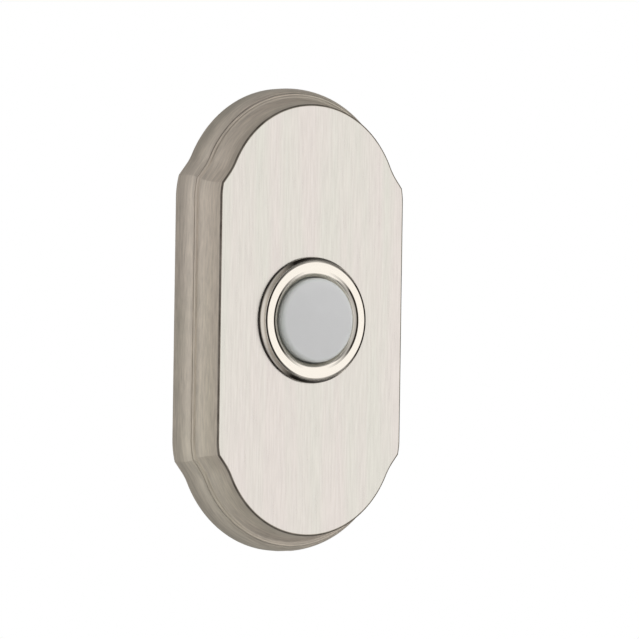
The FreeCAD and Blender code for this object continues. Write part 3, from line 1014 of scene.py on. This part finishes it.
@dataclass
class CoverPlate:
    """The forged plate: flat brushed face, moulded edge, hollow back, button and set screw holes.

    Attributes:
        outline: the shape of its edge.
        depth: from the wall to the face.
        mould_width: how far the back stands out past the face.
        face_insets: how far inside the edge the face's two outer rows lie.
        arch_start: height above the middle where the round ends' painted shade begins.
        arch_fade: over how much height it grows to its full thickness.
        low_arch: its share on the lower round end.
        edge_shade_paint: painted dark reflection on the broken edge.
        edge_fades: steps over which it grows and fades.
        cove_shade_paint: painted shade in the cove's upper end, on the round ends.
        cove_fade: steps over which it fades.
        crease_shade_paint: painted shade in the crease below the fillet, on the flanks and on the
            round ends.
        crease_lap: its share on the cove's foot, and the steps over which it grows there.
        crease_fades: steps over which it fades on the quarter round, in the same order.
        foot_shade_paint: painted shade at the plate's foot, in the same order.
    """

    outline: PlateOutline = field(default_factory=PlateOutline)
    depth: float = 9.4
    mould_width: float = 3.15
    face_insets: Pair = (0.5, 0.02)
    edge_break: float = 0.35
    edge_steps: int = 8
    cove_width: float = 1.5
    cove_depth: float = 4.3
    cove_steps: int = 20
    fillet_width: float = 0.35
    fillet_drop: float = 0.3
    fillet_round: float = 0.2
    fillet_steps: int = 5
    round_steps: int = 20
    side_height: float = 1.6
    back_break: float = 0.1
    face_thick: float = 2.2
    cavity_inset: float = 1.2
    rebate_out: float = 1.2
    rebate_depth: float = 3.2
    hole_r: float = 8.75
    set_hole_r: float = 1.27
    set_hole_s: float = 1.7
    set_hole_out: float = 2.9
    drill_length: float = 4.0
    drill_sides: int = 48
    crease_angle: float = 40.0
    arch_start: float = 21.5
    arch_fade: float = 5.0
    low_arch: float = 0.6
    edge_shade_paint: float = 1.0
    edge_fades: tuple[int, int] = (2, 3)
    cove_shade_paint: float = 0.3
    cove_fade: int = 7
    crease_shade_paint: Pair = (0.4, 0.9)
    crease_lap: tuple[float, int] = (0.7, 2)
    crease_fades: tuple[int, int] = (2, 3)
    foot_shade_paint: Pair = (0.22, 0.35)

    def profile(self) -> list[tuple[float, float, bool, Pair]]:
        """The moulding from the face outwards.

        Returns:
            Offset, height above the wall, whether it is a corner, and the painted shade on
            the flanks and on the round ends, of each point.
        """
        rows = [(-inset, self.depth, False, BARE) for inset in self.face_insets]
        grow, fade = self.edge_fades
        # painted dark reflection along the face's broken edge; on the round ends it runs on as
        # painted shade into the cove
        for i, sine, cosine in quarter_turn(self.edge_steps):
            shade_paint = self.edge_shade_paint * min(1.0, i / grow, (self.edge_steps - i) / fade)
            shade_paints = (shade_paint, max(shade_paint, self.cove_shade_paint * i / self.edge_steps))
            s = self.depth - self.edge_break * (1 - cosine)
            rows.append((self.edge_break * sine, s, False, shade_paints))

        cove_x = self.edge_break + self.cove_width
        lap, lap_steps = self.crease_lap
        # on the round ends, painted shade fading down the cove and growing again at its foot
        for i, sine, cosine in quarter_turn(self.cove_steps, 1):
            left = self.cove_shade_paint * (1.0 - i / self.cove_fade)
            held = self.crease_shade_paint[1] * lap * (i - self.cove_steps + lap_steps) / lap_steps
            s = self.depth - self.edge_break - self.cove_depth * sine
            rows.append((cove_x - self.cove_width * cosine, s, False, (0.0, max(left, held, 0.0))))

        edge_x, r = cove_x + self.fillet_width, self.fillet_round
        flat_s = self.depth - (self.edge_break + self.cove_depth)
        for _, sine, cosine in reversed(list(quarter_turn(self.fillet_steps))):
            rows.append((edge_x - r + r * cosine, flat_s - r + r * sine, False, BARE))
        round_s = flat_s - self.fillet_drop
        # painted shade in the crease below the fillet
        rows.append((edge_x, round_s, True, self.crease_shade_paint))

        # painted shade fading from the crease down the quarter round, and growing towards the
        # plate's foot
        wide, tall = self.mould_width - edge_x, round_s - self.side_height
        half = self.round_steps / 2
        for i, sine, cosine in quarter_turn(self.round_steps, 1):
            foot = max(0.0, (i - half) / half)
            shade_paints = tuple(
                max(crease * (1.0 - i / fade), low * foot)
                for crease, fade, low in zip(self.crease_shade_paint, self.crease_fades, self.foot_shade_paint)
            )
            rows.append((edge_x + wide * sine, self.side_height + tall * cosine, False, shade_paints))
        rows.append((self.mould_width, self.back_break, False, self.foot_shade_paint))
        rows.append((self.mould_width - self.back_break, 0.0, True, self.foot_shade_paint))
        return rows

    def build(self) -> bpy.types.Object:
        """Makes the plate's mesh.

        Returns:
            The new object.
        """
        face_line = self.outline.whole(0.0)
        run = [0.0]
        for here, there in zip(face_line, face_line[1:] + face_line[:1]):
            run.append(run[-1] + math.dist(here, there))
        hole = [
            (self.hole_r * x / math.hypot(x, z), self.hole_r * z / math.hypot(x, z))
            for x, z in face_line
        ]
        rebate = self.outline.whole(self.rebate_out)
        cavity = self.outline.whole(-self.cavity_inset)
        inside_s = self.depth - self.face_thick

        plans = [(hole, self.depth, True, BARE, Grain.UPRIGHT, Coat.OUTER)]
        for i, (offset, *rest) in enumerate(self.profile()):
            on_face = i < len(self.face_insets)
            look = (Grain.UPRIGHT, Coat.OUTER) if on_face else (Grain.SWEPT, Coat.MOULDED)
            plans.append((self.outline.whole(offset), *rest, *look))
        # the moulding ends at the back edge, from which the inside goes on
        plans[-1] = (*plans[-1][:-1], Coat.INNER)
        for line, s in (
            (rebate, 0.0),
            (rebate, self.rebate_depth),
            (cavity, self.rebate_depth),
            (cavity, inside_s),
            (hole, inside_s),
        ):
            plans.append((line, s, True, BARE, Grain.SWEPT, Coat.INNER))

        # the round ends take more painted shade, the upper one more than the lower one
        archness = [self._archness(z) for _, z in face_line]
        rows: list[Strip] = []
        for line, s, sharp, shade_paint, grain, coat in plans:
            reach = 0.0
            if rows:
                x, last_s, _ = rows[-1].points[0]
                reach = rows[-1].reach + math.hypot(line[0][0] - x, s - last_s)
            marks = [shade_paint[0] + (shade_paint[1] - shade_paint[0]) * share for share in archness]
            rows.append(Strip([(x, s, z) for x, z in line], reach, marks, sharp, grain, coat))
        plate = loft_rows("moulded_plate", rows, run, True, self.outline.corners())
        self._drill(plate)
        return plate

    def _archness(self, z: float) -> float:
        """How far a height lies on the round ends, which hold less painted shade at the bottom.

        Args:
            z: the height above the plate's middle.

        Returns:
            The share of the round ends' painted shade.
        """
        share = max(0.0, min(1.0, (abs(z) - self.arch_start) / self.arch_fade))
        return share if z > 0 else self.low_arch * share

    def _drill(self, plate: bpy.types.Object) -> None:
        """Cuts the set screw hole through the lower edge.

        Args:
            plate: the plate's object.
        """
        middle = (0.0, self.set_hole_s, -(self.outline.half_height + self.set_hole_out))
        shape = bmesh.new()
        bmesh.ops.create_cone(
            shape,
            cap_ends=True,
            segments=self.drill_sides,
            radius1=self.set_hole_r * MM,
            radius2=self.set_hole_r * MM,
            depth=self.drill_length * MM,
            matrix=Matrix.Translation(place_point(middle)),
        )
        drill = put_shape("set_hole_drill", shape)
        # the cut keeps each face's material number only up to the number of slots
        for _ in Coat:
            plate.data.materials.append(None)
        cut = plate.modifiers.new("set_hole", "BOOLEAN")
        cut.operation = "DIFFERENCE"
        cut.solver = "EXACT"
        cut.object = drill
        bake_modifiers(plate)
        bpy.data.objects.remove(drill)
        crease_by_angle(plate.data, self.crease_angle)

    def dress(self) -> None:
        """Builds the plate with its face, back and moulding finishes and puts it on the frame."""
        finishes = [kind.material() for kind in (SATIN_NICKEL, CAST_INSIDE, MOULDED_NICKEL)]
        finish_piece(self.build(), FIXED, "cover_plate", finishes)


# The ring


@dataclass
class Helix:
    """A rod or ridge that climbs round the button's axis, grown by geometry nodes.

    Attributes:
        name: the piece's name.
        radius: radius of its middle line.
        start: height above the wall where it starts.
        end: height above the wall where it ends.
        pitch: rise of one turn.
        half_depth: radius of its section.
        sides: sides of its section.
    """

    name: str
    radius: float
    start: float
    end: float
    pitch: float
    half_depth: float
    sides: int

    @staticmethod
    @cache
    def tree() -> bpy.types.NodeTree:
        """Builds the node tree that sweeps a section along a helix.

        Returns:
            The tree.
        """
        tree = bpy.data.node_groups.new("helix_sweep", "GeometryNodeTree")
        kinds = {"Geometry": "Geometry", "Sides": "Int", "Place": "Vector", "Finish": "Material"}
        kinds |= dict.fromkeys(("Radius", "Height", "Turns", "Half Depth"), "Float")
        for label, kind in kinds.items():
            tree.interface.new_socket(label, in_out="INPUT", socket_type=f"NodeSocket{kind}")
        tree.interface.new_socket("Geometry", in_out="OUTPUT", socket_type="NodeSocketGeometry")
        wires = Wiring(tree)
        given = wires.add("NodeGroupInput").outputs
        line = {
            "Resolution": 72,
            "Rotations": given["Turns"],
            "Start Radius": given["Radius"],
            "End Radius": given["Radius"],
            "Height": given["Height"],
        }
        helix = wires.add("GeometryNodeCurveSpiral", line).outputs[0]
        circle = {"Resolution": given["Sides"], "Radius": given["Half Depth"]}
        section = wires.add("GeometryNodeCurvePrimitiveCircle", circle, mode="RADIUS").outputs[0]
        sweep = {"Curve": helix, "Profile Curve": section, "Fill Caps": True}
        swept = wires.add("GeometryNodeCurveToMesh", sweep).outputs[0]
        laying = {
            "Geometry": swept,
            "Translation": given["Place"],
            "Rotation": (math.radians(90), 0.0, 0.0),
        }
        laid = wires.add("GeometryNodeTransform", laying).outputs[0]
        solid = wires.add("GeometryNodeRealizeInstances", {0: laid}).outputs[0]
        coated = wires.add("GeometryNodeSetMaterial", {0: solid, "Material": given["Finish"]})
        wires.add("NodeGroupOutput", {0: coated.outputs[0]})
        return tree

    def build(self, finish: bpy.types.Material) -> bpy.types.Object:
        """Makes the rod.

        Args:
            finish: its material.

        Returns:
            The new object, a plain mesh.
        """
        height = self.end - self.start
        values = {
            "Radius": self.radius * MM,
            "Height": height * MM,
            "Turns": height / self.pitch,
            "Half Depth": self.half_depth * MM,
            "Sides": self.sides,
            "Place": (0.0, -self.start * MM, 0.0),
            "Finish": finish,
        }
        rod = put(self.name, bpy.data.meshes.new(self.name))
        growth = rod.modifiers.new("growth", "NODES")
        growth.node_group = self.tree()
        for item in growth.node_group.interface.items_tree:
            if item.in_out == "INPUT" and item.name in values:
                growth[item.identifier] = values[item.name]
        bake_modifiers(rod)
        rod.data.name = self.name
        return rod


@dataclass
class ButtonRing:
    """The turned ring with its rounded lip, tapered side and threaded barrel.

    Attributes:
        lip_lap: how far past the lip its painted dark reflection lies on the front, and where it
            has ended.
        edge_lap: how far inside the front's outer edge its painted dark reflection ends, and where
            it is full.
        side_tilts: degrees round the outer edge of the rows that carry the side's painted shade.
        side_foot: inset and rise of the row where the side's own painted shade ends.
        foot_rows: inset, rise and painted shade of the rows below it.
    """

    barrel_r: float = 8.6
    bore_r: float = 7.75
    face_r: float = 9.9
    base_r: float = 10.35
    hole_r: float = 7.05
    back_s: float = 9.7
    height: float = 1.05
    edge_round: float = 0.4
    lip_round: float = 1.15
    land: float = 0.6
    land_shade_paint: float = 0.3
    lip_lap: Pair = (0.04, 0.09)
    edge_lap: Pair = (0.13, 0.07)
    side_shade_paint: float = 0.95
    side_tilts: Triple = (50.0, 70.0, 90.0)
    side_foot: Pair = (0.13, 0.25)
    foot_rows: tuple[Triple, ...] = ((0.09, 0.18, 0.5), (0.04, 0.06, 0.7), (0.04, 0.0, 0.7))
    barrel_end_s: float = 3.6
    barrel_break: float = 0.25
    thread_depth: float = 0.32
    thread_pitch: float = 0.75
    thread_gaps: Pair = (0.35, 0.75)

    def build(self) -> bpy.types.Object:
        """Makes the ring's mesh.

        Returns:
            The new object.
        """
        front = self.back_s + self.height
        core = self.barrel_r - self.thread_depth
        lip, edge = self.lip_round, self.edge_round
        lip_x, edge_x = self.hole_r + lip, self.face_r - edge
        turning = Turning()
        # painted shade down the wall of the hole
        turning.go(self.hole_r, front - lip - self.land, shade_paint=self.land_shade_paint)
        # painted dark reflection and painted shade round the lip
        turning.bend((lip_x, front - lip), lip, (180, 90), 32, self._lip_shade_paint, 0.32)
        turning.go(lip_x + self.lip_lap[0], front, False, self._lip_shade_paint)
        turning.go(lip_x + self.lip_lap[1], front, False)
        # painted dark reflection round the front's outer edge, lapping onto the front on the right
        turning.go(edge_x - self.edge_lap[0], front, False)
        turning.go(edge_x - self.edge_lap[1], front, False, self._rim_shade_paint)
        turning.bend((edge_x, front - edge), edge, (90, 33), 8, self._edge_shade_paint, 0.28)
        # painted shade and painted dark reflection on the tapered side, mostly above and below
        for tilt in self.side_tilts:
            x = self.face_r - edge * (1 - math.sin(math.radians(tilt)))
            s = front - edge * (1 - math.cos(math.radians(tilt)))
            turning.go(x, s, False, self._side_shade_paint)
        inset, rise = self.side_foot
        turning.go(self.base_r - inset, self.back_s + rise, False, self._side_shade_paint)
        # painted shade at the ring's foot, where it stands on the plate
        for inset, rise, shade_paint in self.foot_rows:
            turning.go(self.base_r - inset, self.back_s + rise, rise == 0, shade_paint)
        # painted shade where the barrel goes into the plate
        turning.go(core, self.back_s, shade_paint=1.0)
        turning.go(core, self.barrel_end_s + self.barrel_break)
        turning.go(core - self.barrel_break, self.barrel_end_s)
        turning.go(self.bore_r, self.barrel_end_s)
        turning.go(self.bore_r, front - lip - self.land)
        return turning.skin("polished_ring", True)

    @staticmethod
    def _lip_shade_paint(turn: float) -> float:
        """Painted dark reflection and painted shade round the lip, fading above and below."""
        return max(0.0, min(1.0, 1.4 * math.cos(turn) ** 2 - 0.1))

    @staticmethod
    def _edge_shade_paint(turn: float) -> float:
        """The painted dark reflection round the front's outer edge, a little thinner above and
        below.
        """
        return 0.5 + 0.5 * math.cos(turn) ** 2

    @staticmethod
    def _rim_shade_paint(turn: float) -> float:
        """Where that painted reflection laps onto the front, on the right only."""
        return max(0.0, math.cos(turn))

    def _side_shade_paint(self, turn: float) -> float:
        """The painted shade and dark reflection on the tapered side, thick above and below and thin
        to the left and right.
        """
        return self.side_shade_paint * max(0.05, min(1.0, (math.sin(turn) ** 2 - 0.62) / 0.25))

    def thread(self, finish: bpy.types.Material) -> bpy.types.Object:
        """Makes the thread on the barrel.

        Args:
            finish: the thread's material.

        Returns:
            The new object.
        """
        start = self.barrel_end_s + self.thread_gaps[0]
        end = self.back_s - self.thread_gaps[1]
        half = self.thread_depth / 2
        middle = self.barrel_r - half
        ridge = Helix("barrel_thread", middle, start, end, self.thread_pitch, half, 4)
        return ridge.build(finish)

    def dress(self) -> None:
        """Builds the ring and its thread in polished nickel and puts them on the frame."""
        polished = POLISHED_NICKEL.material()
        for piece in (self.build(), self.thread(polished)):
            finish_piece(piece, FIXED, "bezel_ring", [polished])


# The button and what lies behind it


@dataclass
class ButtonCap:
    """The domed cap with its rounded edge and the flange that stops it in the ring."""

    cap_r: float = 6.9
    front_s: float = 12.05
    dome_r: float = 42.0
    dome_steps: int = 14
    round_r: float = 0.75
    round_steps: int = 12
    flange_r: float = 7.5
    flange_front_s: float = 8.9
    flange_back_s: float = 8.0
    wall: float = 1.3
    inner_steps: int = 8
    seat: float = 0.35
    seat_depth: float = 1.0

    def build(self) -> bpy.types.Object:
        """Makes the cap's mesh.

        Returns:
            The new object.
        """
        centre_s = self.front_s - self.dome_r
        edge_x = self.cap_r - self.round_r
        rise = math.sqrt((self.dome_r - self.round_r) ** 2 - edge_x**2)
        meet = math.degrees(math.atan2(rise, edge_x))
        inner_r = self.cap_r - self.wall
        inner_dome = self.dome_r - self.wall
        inner_meet = math.degrees(math.acos(inner_r / inner_dome))
        dome, rounding, inner = self.dome_steps, self.round_steps, self.inner_steps
        # each round leaves out the end that the row beside it has already
        outside = (90 - (90 - meet) / dome, meet)
        inside = (inner_meet, 90 - (90 - inner_meet) / inner)

        turning = Turning()
        turning.go(0.0, self.front_s, False)
        turning.bend((0.0, centre_s), self.dome_r, outside, dome - 1)
        edge = (meet - meet / rounding, 0)
        turning.bend((edge_x, centre_s + rise), self.round_r, edge, rounding - 1)
        # a painted shade mark where the cap goes into the ring, which the milky material does not
        # read
        turning.go(self.cap_r, self.flange_front_s, shade_paint=1.0)
        turning.go(self.flange_r, self.flange_front_s)
        turning.go(self.flange_r, self.flange_back_s)
        turning.go(inner_r + self.seat, self.flange_back_s)
        turning.go(inner_r + self.seat, self.flange_back_s + self.seat_depth)
        turning.go(inner_r, self.flange_back_s + self.seat_depth)
        turning.bend((0.0, centre_s), inner_dome, inside, inner - 1)
        # the wall meets the hollow's dome in a corner
        turning.rows[-inner].sharp = True
        turning.go(0.0, self.front_s - self.wall, False)
        return turning.skin("milky_cap", False)

    def dress(self) -> None:
        """Builds the cap in milky plastic and puts it on the frame."""
        finish_piece(self.build(), MOVING, "button_cap", [MilkyPlastic().material()])


@dataclass
class ReturnSpring:
    """The coil between the housing's floor and the plunger, which the button squeezes as it goes
    in; the mesh keeps one shape.
    """

    radius: float = 5.3
    wire_r: float = 0.25
    low_s: float = 2.65
    high_s: float = 7.75
    turns: float = 4.5
    sides: int = 14
    crease_angle: float = 60.0

    def build(self, finish: bpy.types.Material) -> bpy.types.Object:
        """Makes the spring's mesh.

        Args:
            finish: its material.

        Returns:
            The new object.
        """
        pitch = (self.high_s - self.low_s) / self.turns
        coil = Helix(
            "coil_spring", self.radius, self.low_s, self.high_s, pitch, self.wire_r, self.sides
        )
        spring = coil.build(finish)
        for face in spring.data.polygons:
            face.use_smooth = True
        crease_by_angle(spring.data, self.crease_angle)
        return spring

    def dress(self, finish: bpy.types.Material) -> None:
        """Builds the spring in place and hides its solid.

        Args:
            finish: its material.
        """
        spring = self.build(finish)
        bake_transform(spring)
        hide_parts("return_spring")
        faces = len(spring.data.polygons)
        LOG.info("%s: %d faces between %s and %s", spring.name, faces, FIXED, MOVING)


@dataclass
class HiddenWorks:
    """The pieces behind the plate, which keep their solids' shapes.

    Attributes:
        finishes: the finish of each CAD node.
    """

    finishes: dict[str, object] = field(
        default_factory=lambda: {
            "bezel_gasket": BLACK_RUBBER,
            "lock_washer": ZINC_STEEL,
            "bezel_nut": TURNED_BRASS,
            "plunger": WHITE_PLASTIC,
            "contact_bridge": CONTACT_BRASS,
            "switch_housing": BLACK_PLASTIC,
            "terminal_base": BLACK_PLASTIC,
            "base_screws": SPRING_STEEL,
            "contact_left": CONTACT_BRASS,
            "contact_right": CONTACT_BRASS,
            "terminal_screws": CONTACT_BRASS,
            "terminal_washers": CONTACT_BRASS,
            "circuit_board": BOARD_LAMINATE,
            "led_lamp": LampLens(),
            "lamp_leads": TINNED_WIRE,
            "resistor": BandedLacquer(),
            "board_links": TINNED_WIRE,
            "mounting_bracket": ZINC_STEEL,
            "set_screw": SPRING_STEEL,
        }
    )

    def dress(
        self, nodes: dict[str, bpy.types.Object], made: dict[str, bpy.types.Material]
    ) -> None:
        """Gives each node its finish.

        Args:
            nodes: the CAD nodes by name.
            made: the materials that exist already, by name.
        """
        for node, finish in self.finishes.items():
            if finish.name not in made:
                made[finish.name] = finish.material()
            mesh = nodes[node].data
            mesh.materials.clear()
            mesh.materials.append(made[finish.name])
            LOG.info("%s: %s", node, finish.name)


# The studio


@dataclass
class Studio:
    """Camera, lamps, floor and surroundings.

    Attributes:
        azimuth: degrees of the camera round the upright, 0 straight in front.
        elevation: degrees above the horizon.
        roll: degrees that the picture is turned.
        distance: from the camera to its aim.
        aim: the point it looks at, as (x, s, z).
        focal: focal length for the sensor's width.
        lamps: name, place in metres, size and power of each lamp.
        card_level: brightness of the tall card that the face mirrors.
        card_reach: degrees from its middle to its sides and to its top.
        soft_edge: degrees over which its edge fades, to either side.
        overhead: degrees above the horizon over which the walls give way to what is above.
        walls: azimuth and brightness round the horizon.
        above: the same overhead.
        floor_z: height of the floor.
        floor_half: half its width in metres.
        floor_shade: its darkest level, beside the object.
        shade_reach: how far from the object that shade goes, in metres.
    """

    azimuth: float = -33.44
    elevation: float = -0.045
    roll: float = 0.835
    distance: float = 712.6
    aim: Triple = (1.484, 9.422, 0.14)
    focal: float = 245.7
    sensor: float = 36.0
    lamps: tuple[tuple[str, Triple, float, float], ...] = (
        ("front_lamp", (0.42, -0.78, 0.22), 0.7, 5.2),
        ("left_lamp", (-0.75, -0.45, 0.10), 0.6, 1.5),
    )
    card_level: float = 1.05
    card_reach: Pair = (20.0, 48.0)
    soft_edge: float = 4.0
    overhead: Pair = (24.0, 48.0)
    walls: tuple[Pair, ...] = (
        (-180.0, 0.32),
        (-150.0, 0.42),
        (-125.0, 0.50),
        (-100.0, 0.48),
        (-78.0, 0.36),
        (-12.0, 0.44),
        (34.0, 0.62),
        (56.0, 0.71),
        (80.0, 0.76),
        (108.0, 0.72),
        (128.0, 0.55),
        (146.0, 0.36),
        (180.0, 0.32),
    )
    above: tuple[Pair, ...] = (
        (-180.0, 0.42),
        (-118.0, 0.30),
        (-100.0, 0.20),
        (20.0, 0.20),
        (50.0, 0.35),
        (100.0, 0.48),
        (180.0, 0.42),
    )
    floor_z: float = -58.0
    floor_half: float = 6.0
    floor_shade: float = 0.55
    shade_reach: float = 0.06

    def axes(self) -> tuple[Vector, Vector, Vector]:
        """Turns the camera's angles into directions.

        Returns:
            The camera's right, up and back.
        """
        a, e, r = (math.radians(v) for v in (self.azimuth, self.elevation, self.roll))
        back = Vector((math.sin(a) * math.cos(e), -math.cos(a) * math.cos(e), math.sin(e)))
        right = Vector((math.cos(a), math.sin(a), 0.0))
        up = back.cross(right)
        turned_right = right * math.cos(r) + up * math.sin(r)
        turned_up = up * math.cos(r) - right * math.sin(r)
        return turned_right, turned_up, back

    def place_camera(self) -> None:
        """Makes the camera."""
        right, up, back = self.axes()
        data = bpy.data.cameras.new("camera")
        data.sensor_width = self.sensor
        data.lens = self.focal
        camera = put("camera", data)
        turn = Matrix((right, up, back)).transposed().to_4x4()
        spot = place_point(self.aim) + back * self.distance * MM
        camera.matrix_world = Matrix.Translation(spot) @ turn
        bpy.context.scene.camera = camera

    def place_lamps(self) -> None:
        """Makes broad lamps that light the plastics; the metal shows the white card instead."""
        for name, place, size, power in self.lamps:
            data = bpy.data.lights.new(name, "AREA")
            data.shape = "DISK"
            data.size = size
            data.energy = power
            lamp = put(name, data)
            lamp.location = place
            lamp.rotation_euler = (-Vector(place)).to_track_quat("-Z", "Y").to_euler()
            lamp.visible_glossy = False

    @staticmethod
    def _levels(wires: Wiring, turn: Socket, stops: tuple[Pair, ...]) -> Socket:
        """Grey levels that change with the azimuth.

        Args:
            wires: the world's wiring.
            turn: socket of the azimuth in degrees.
            stops: azimuth and level of each stop, from -180 to 180.

        Returns:
            The colour socket.
        """
        ramp = wires.add("ShaderNodeValToRGB", {0: wires.spread(turn, (-180.0, 180.0))})
        elements = ramp.color_ramp.elements
        while len(elements) < len(stops):
            elements.new(0.5)
        for element, (degrees, level) in zip(elements, stops):
            element.position = degrees / 360.0 + 0.5
            element.color = (level, level, level, 1.0)
        return ramp.outputs[0]

    def _inside(self, wires: Wiring, away: Socket, reach: float) -> Socket:
        """Whether an angle is inside the card's reach, with a soft edge.

        Args:
            wires: the world's wiring.
            away: the angle in degrees.
            reach: the card's reach.

        Returns:
            The mask socket.
        """
        edge = (reach - self.soft_edge, reach + self.soft_edge)
        return wires.spread(away, edge, (1.0, 0.0))

    def paint_world(self) -> None:
        """Makes the surroundings: dim walls, what is above them, and the tall card."""
        world = bpy.data.worlds.new("studio")
        world.use_nodes = True
        world.node_tree.nodes.clear()
        bpy.context.scene.world = world
        wires = Wiring(world.node_tree)
        heading = wires.add("ShaderNodeTexCoord").outputs["Generated"]
        x, y, z = wires.add("ShaderNodeSeparateXYZ", {0: heading}).outputs
        left, front = (wires.maths("MULTIPLY", axis, -1.0) for axis in (x, y))
        turn = wires.maths("DEGREES", wires.maths("ARCTAN2", left, front))
        climb = wires.maths("DEGREES", wires.maths("ARCSINE", wires.maths("ABSOLUTE", z)))
        walls, above = (self._levels(wires, turn, stops) for stops in (self.walls, self.above))
        room = wires.mix(wires.spread(climb, self.overhead), walls, above)

        aside = wires.maths("ABSOLUTE", wires.maths("SUBTRACT", turn, self.azimuth))
        wide, tall = (
            self._inside(wires, away, reach) for away, reach in zip((aside, climb), self.card_reach)
        )
        card = wires.mix(wires.maths("MULTIPLY", wide, tall), room, (self.card_level,) * 3)
        colour = wires.mix(wires.seen(), card, WHITE)
        background = wires.add("ShaderNodeBackground", {"Color": colour, "Strength": 1.0})
        wires.add("ShaderNodeOutputWorld", {"Surface": background.outputs[0]})

    def lay_floor(self) -> None:
        """Makes the plain pale floor, which shows white, with the object's shadow painted into its
        glow from ambient occlusion.
        """
        half, z = self.floor_half, self.floor_z * MM
        corners = [(-half, -half, z), (half, -half, z), (half, half, z), (-half, half, z)]
        mesh = bpy.data.meshes.new("floor")
        mesh.from_pydata(corners, [], [(0, 1, 2, 3)])
        floor = put("floor", mesh)
        material, wires, shader = surface("pale_floor")
        clear = wires.add("ShaderNodeBsdfTransparent").outputs[0]
        # painted shadow: the glow that the camera sees darkens by ambient occlusion beside the
        # object
        near = wires.add("ShaderNodeAmbientOcclusion", {"Distance": self.shade_reach}, samples=16)
        level = wires.spread(near.outputs["AO"], (0.0, 1.0), (self.floor_shade, 1.0))
        lit = {"Color": wires.grey(level), "Strength": 1.0}
        glow = wires.add("ShaderNodeEmission", lit).outputs[0]
        both = wires.add("ShaderNodeMixShader", {0: wires.seen(), 1: clear, 2: glow})
        output = shader.outputs[0].links[0].to_node
        wires.plug(output, {"Surface": both.outputs[0]})
        wires.tree.nodes.remove(shader)
        mesh.materials.append(material)

    def build(self) -> None:
        """Makes everything round the object."""
        self.place_camera()
        self.place_lamps()
        self.paint_world()
        self.lay_floor()
        bpy.context.scene.view_settings.view_transform = "Standard"


def main() -> None:
    """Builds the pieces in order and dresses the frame."""
    logging.basicConfig(level=logging.INFO, format="%(name)s %(message)s")
    for assembly in (CoverPlate(), ButtonRing(), ButtonCap()):
        assembly.dress()
    steel = SPRING_STEEL.material()
    ReturnSpring().dress(steel)
    HiddenWorks().dress(frame["nodes"], {SPRING_STEEL.name: steel})
    Studio().build()


if __name__ == "__main__":
    main()
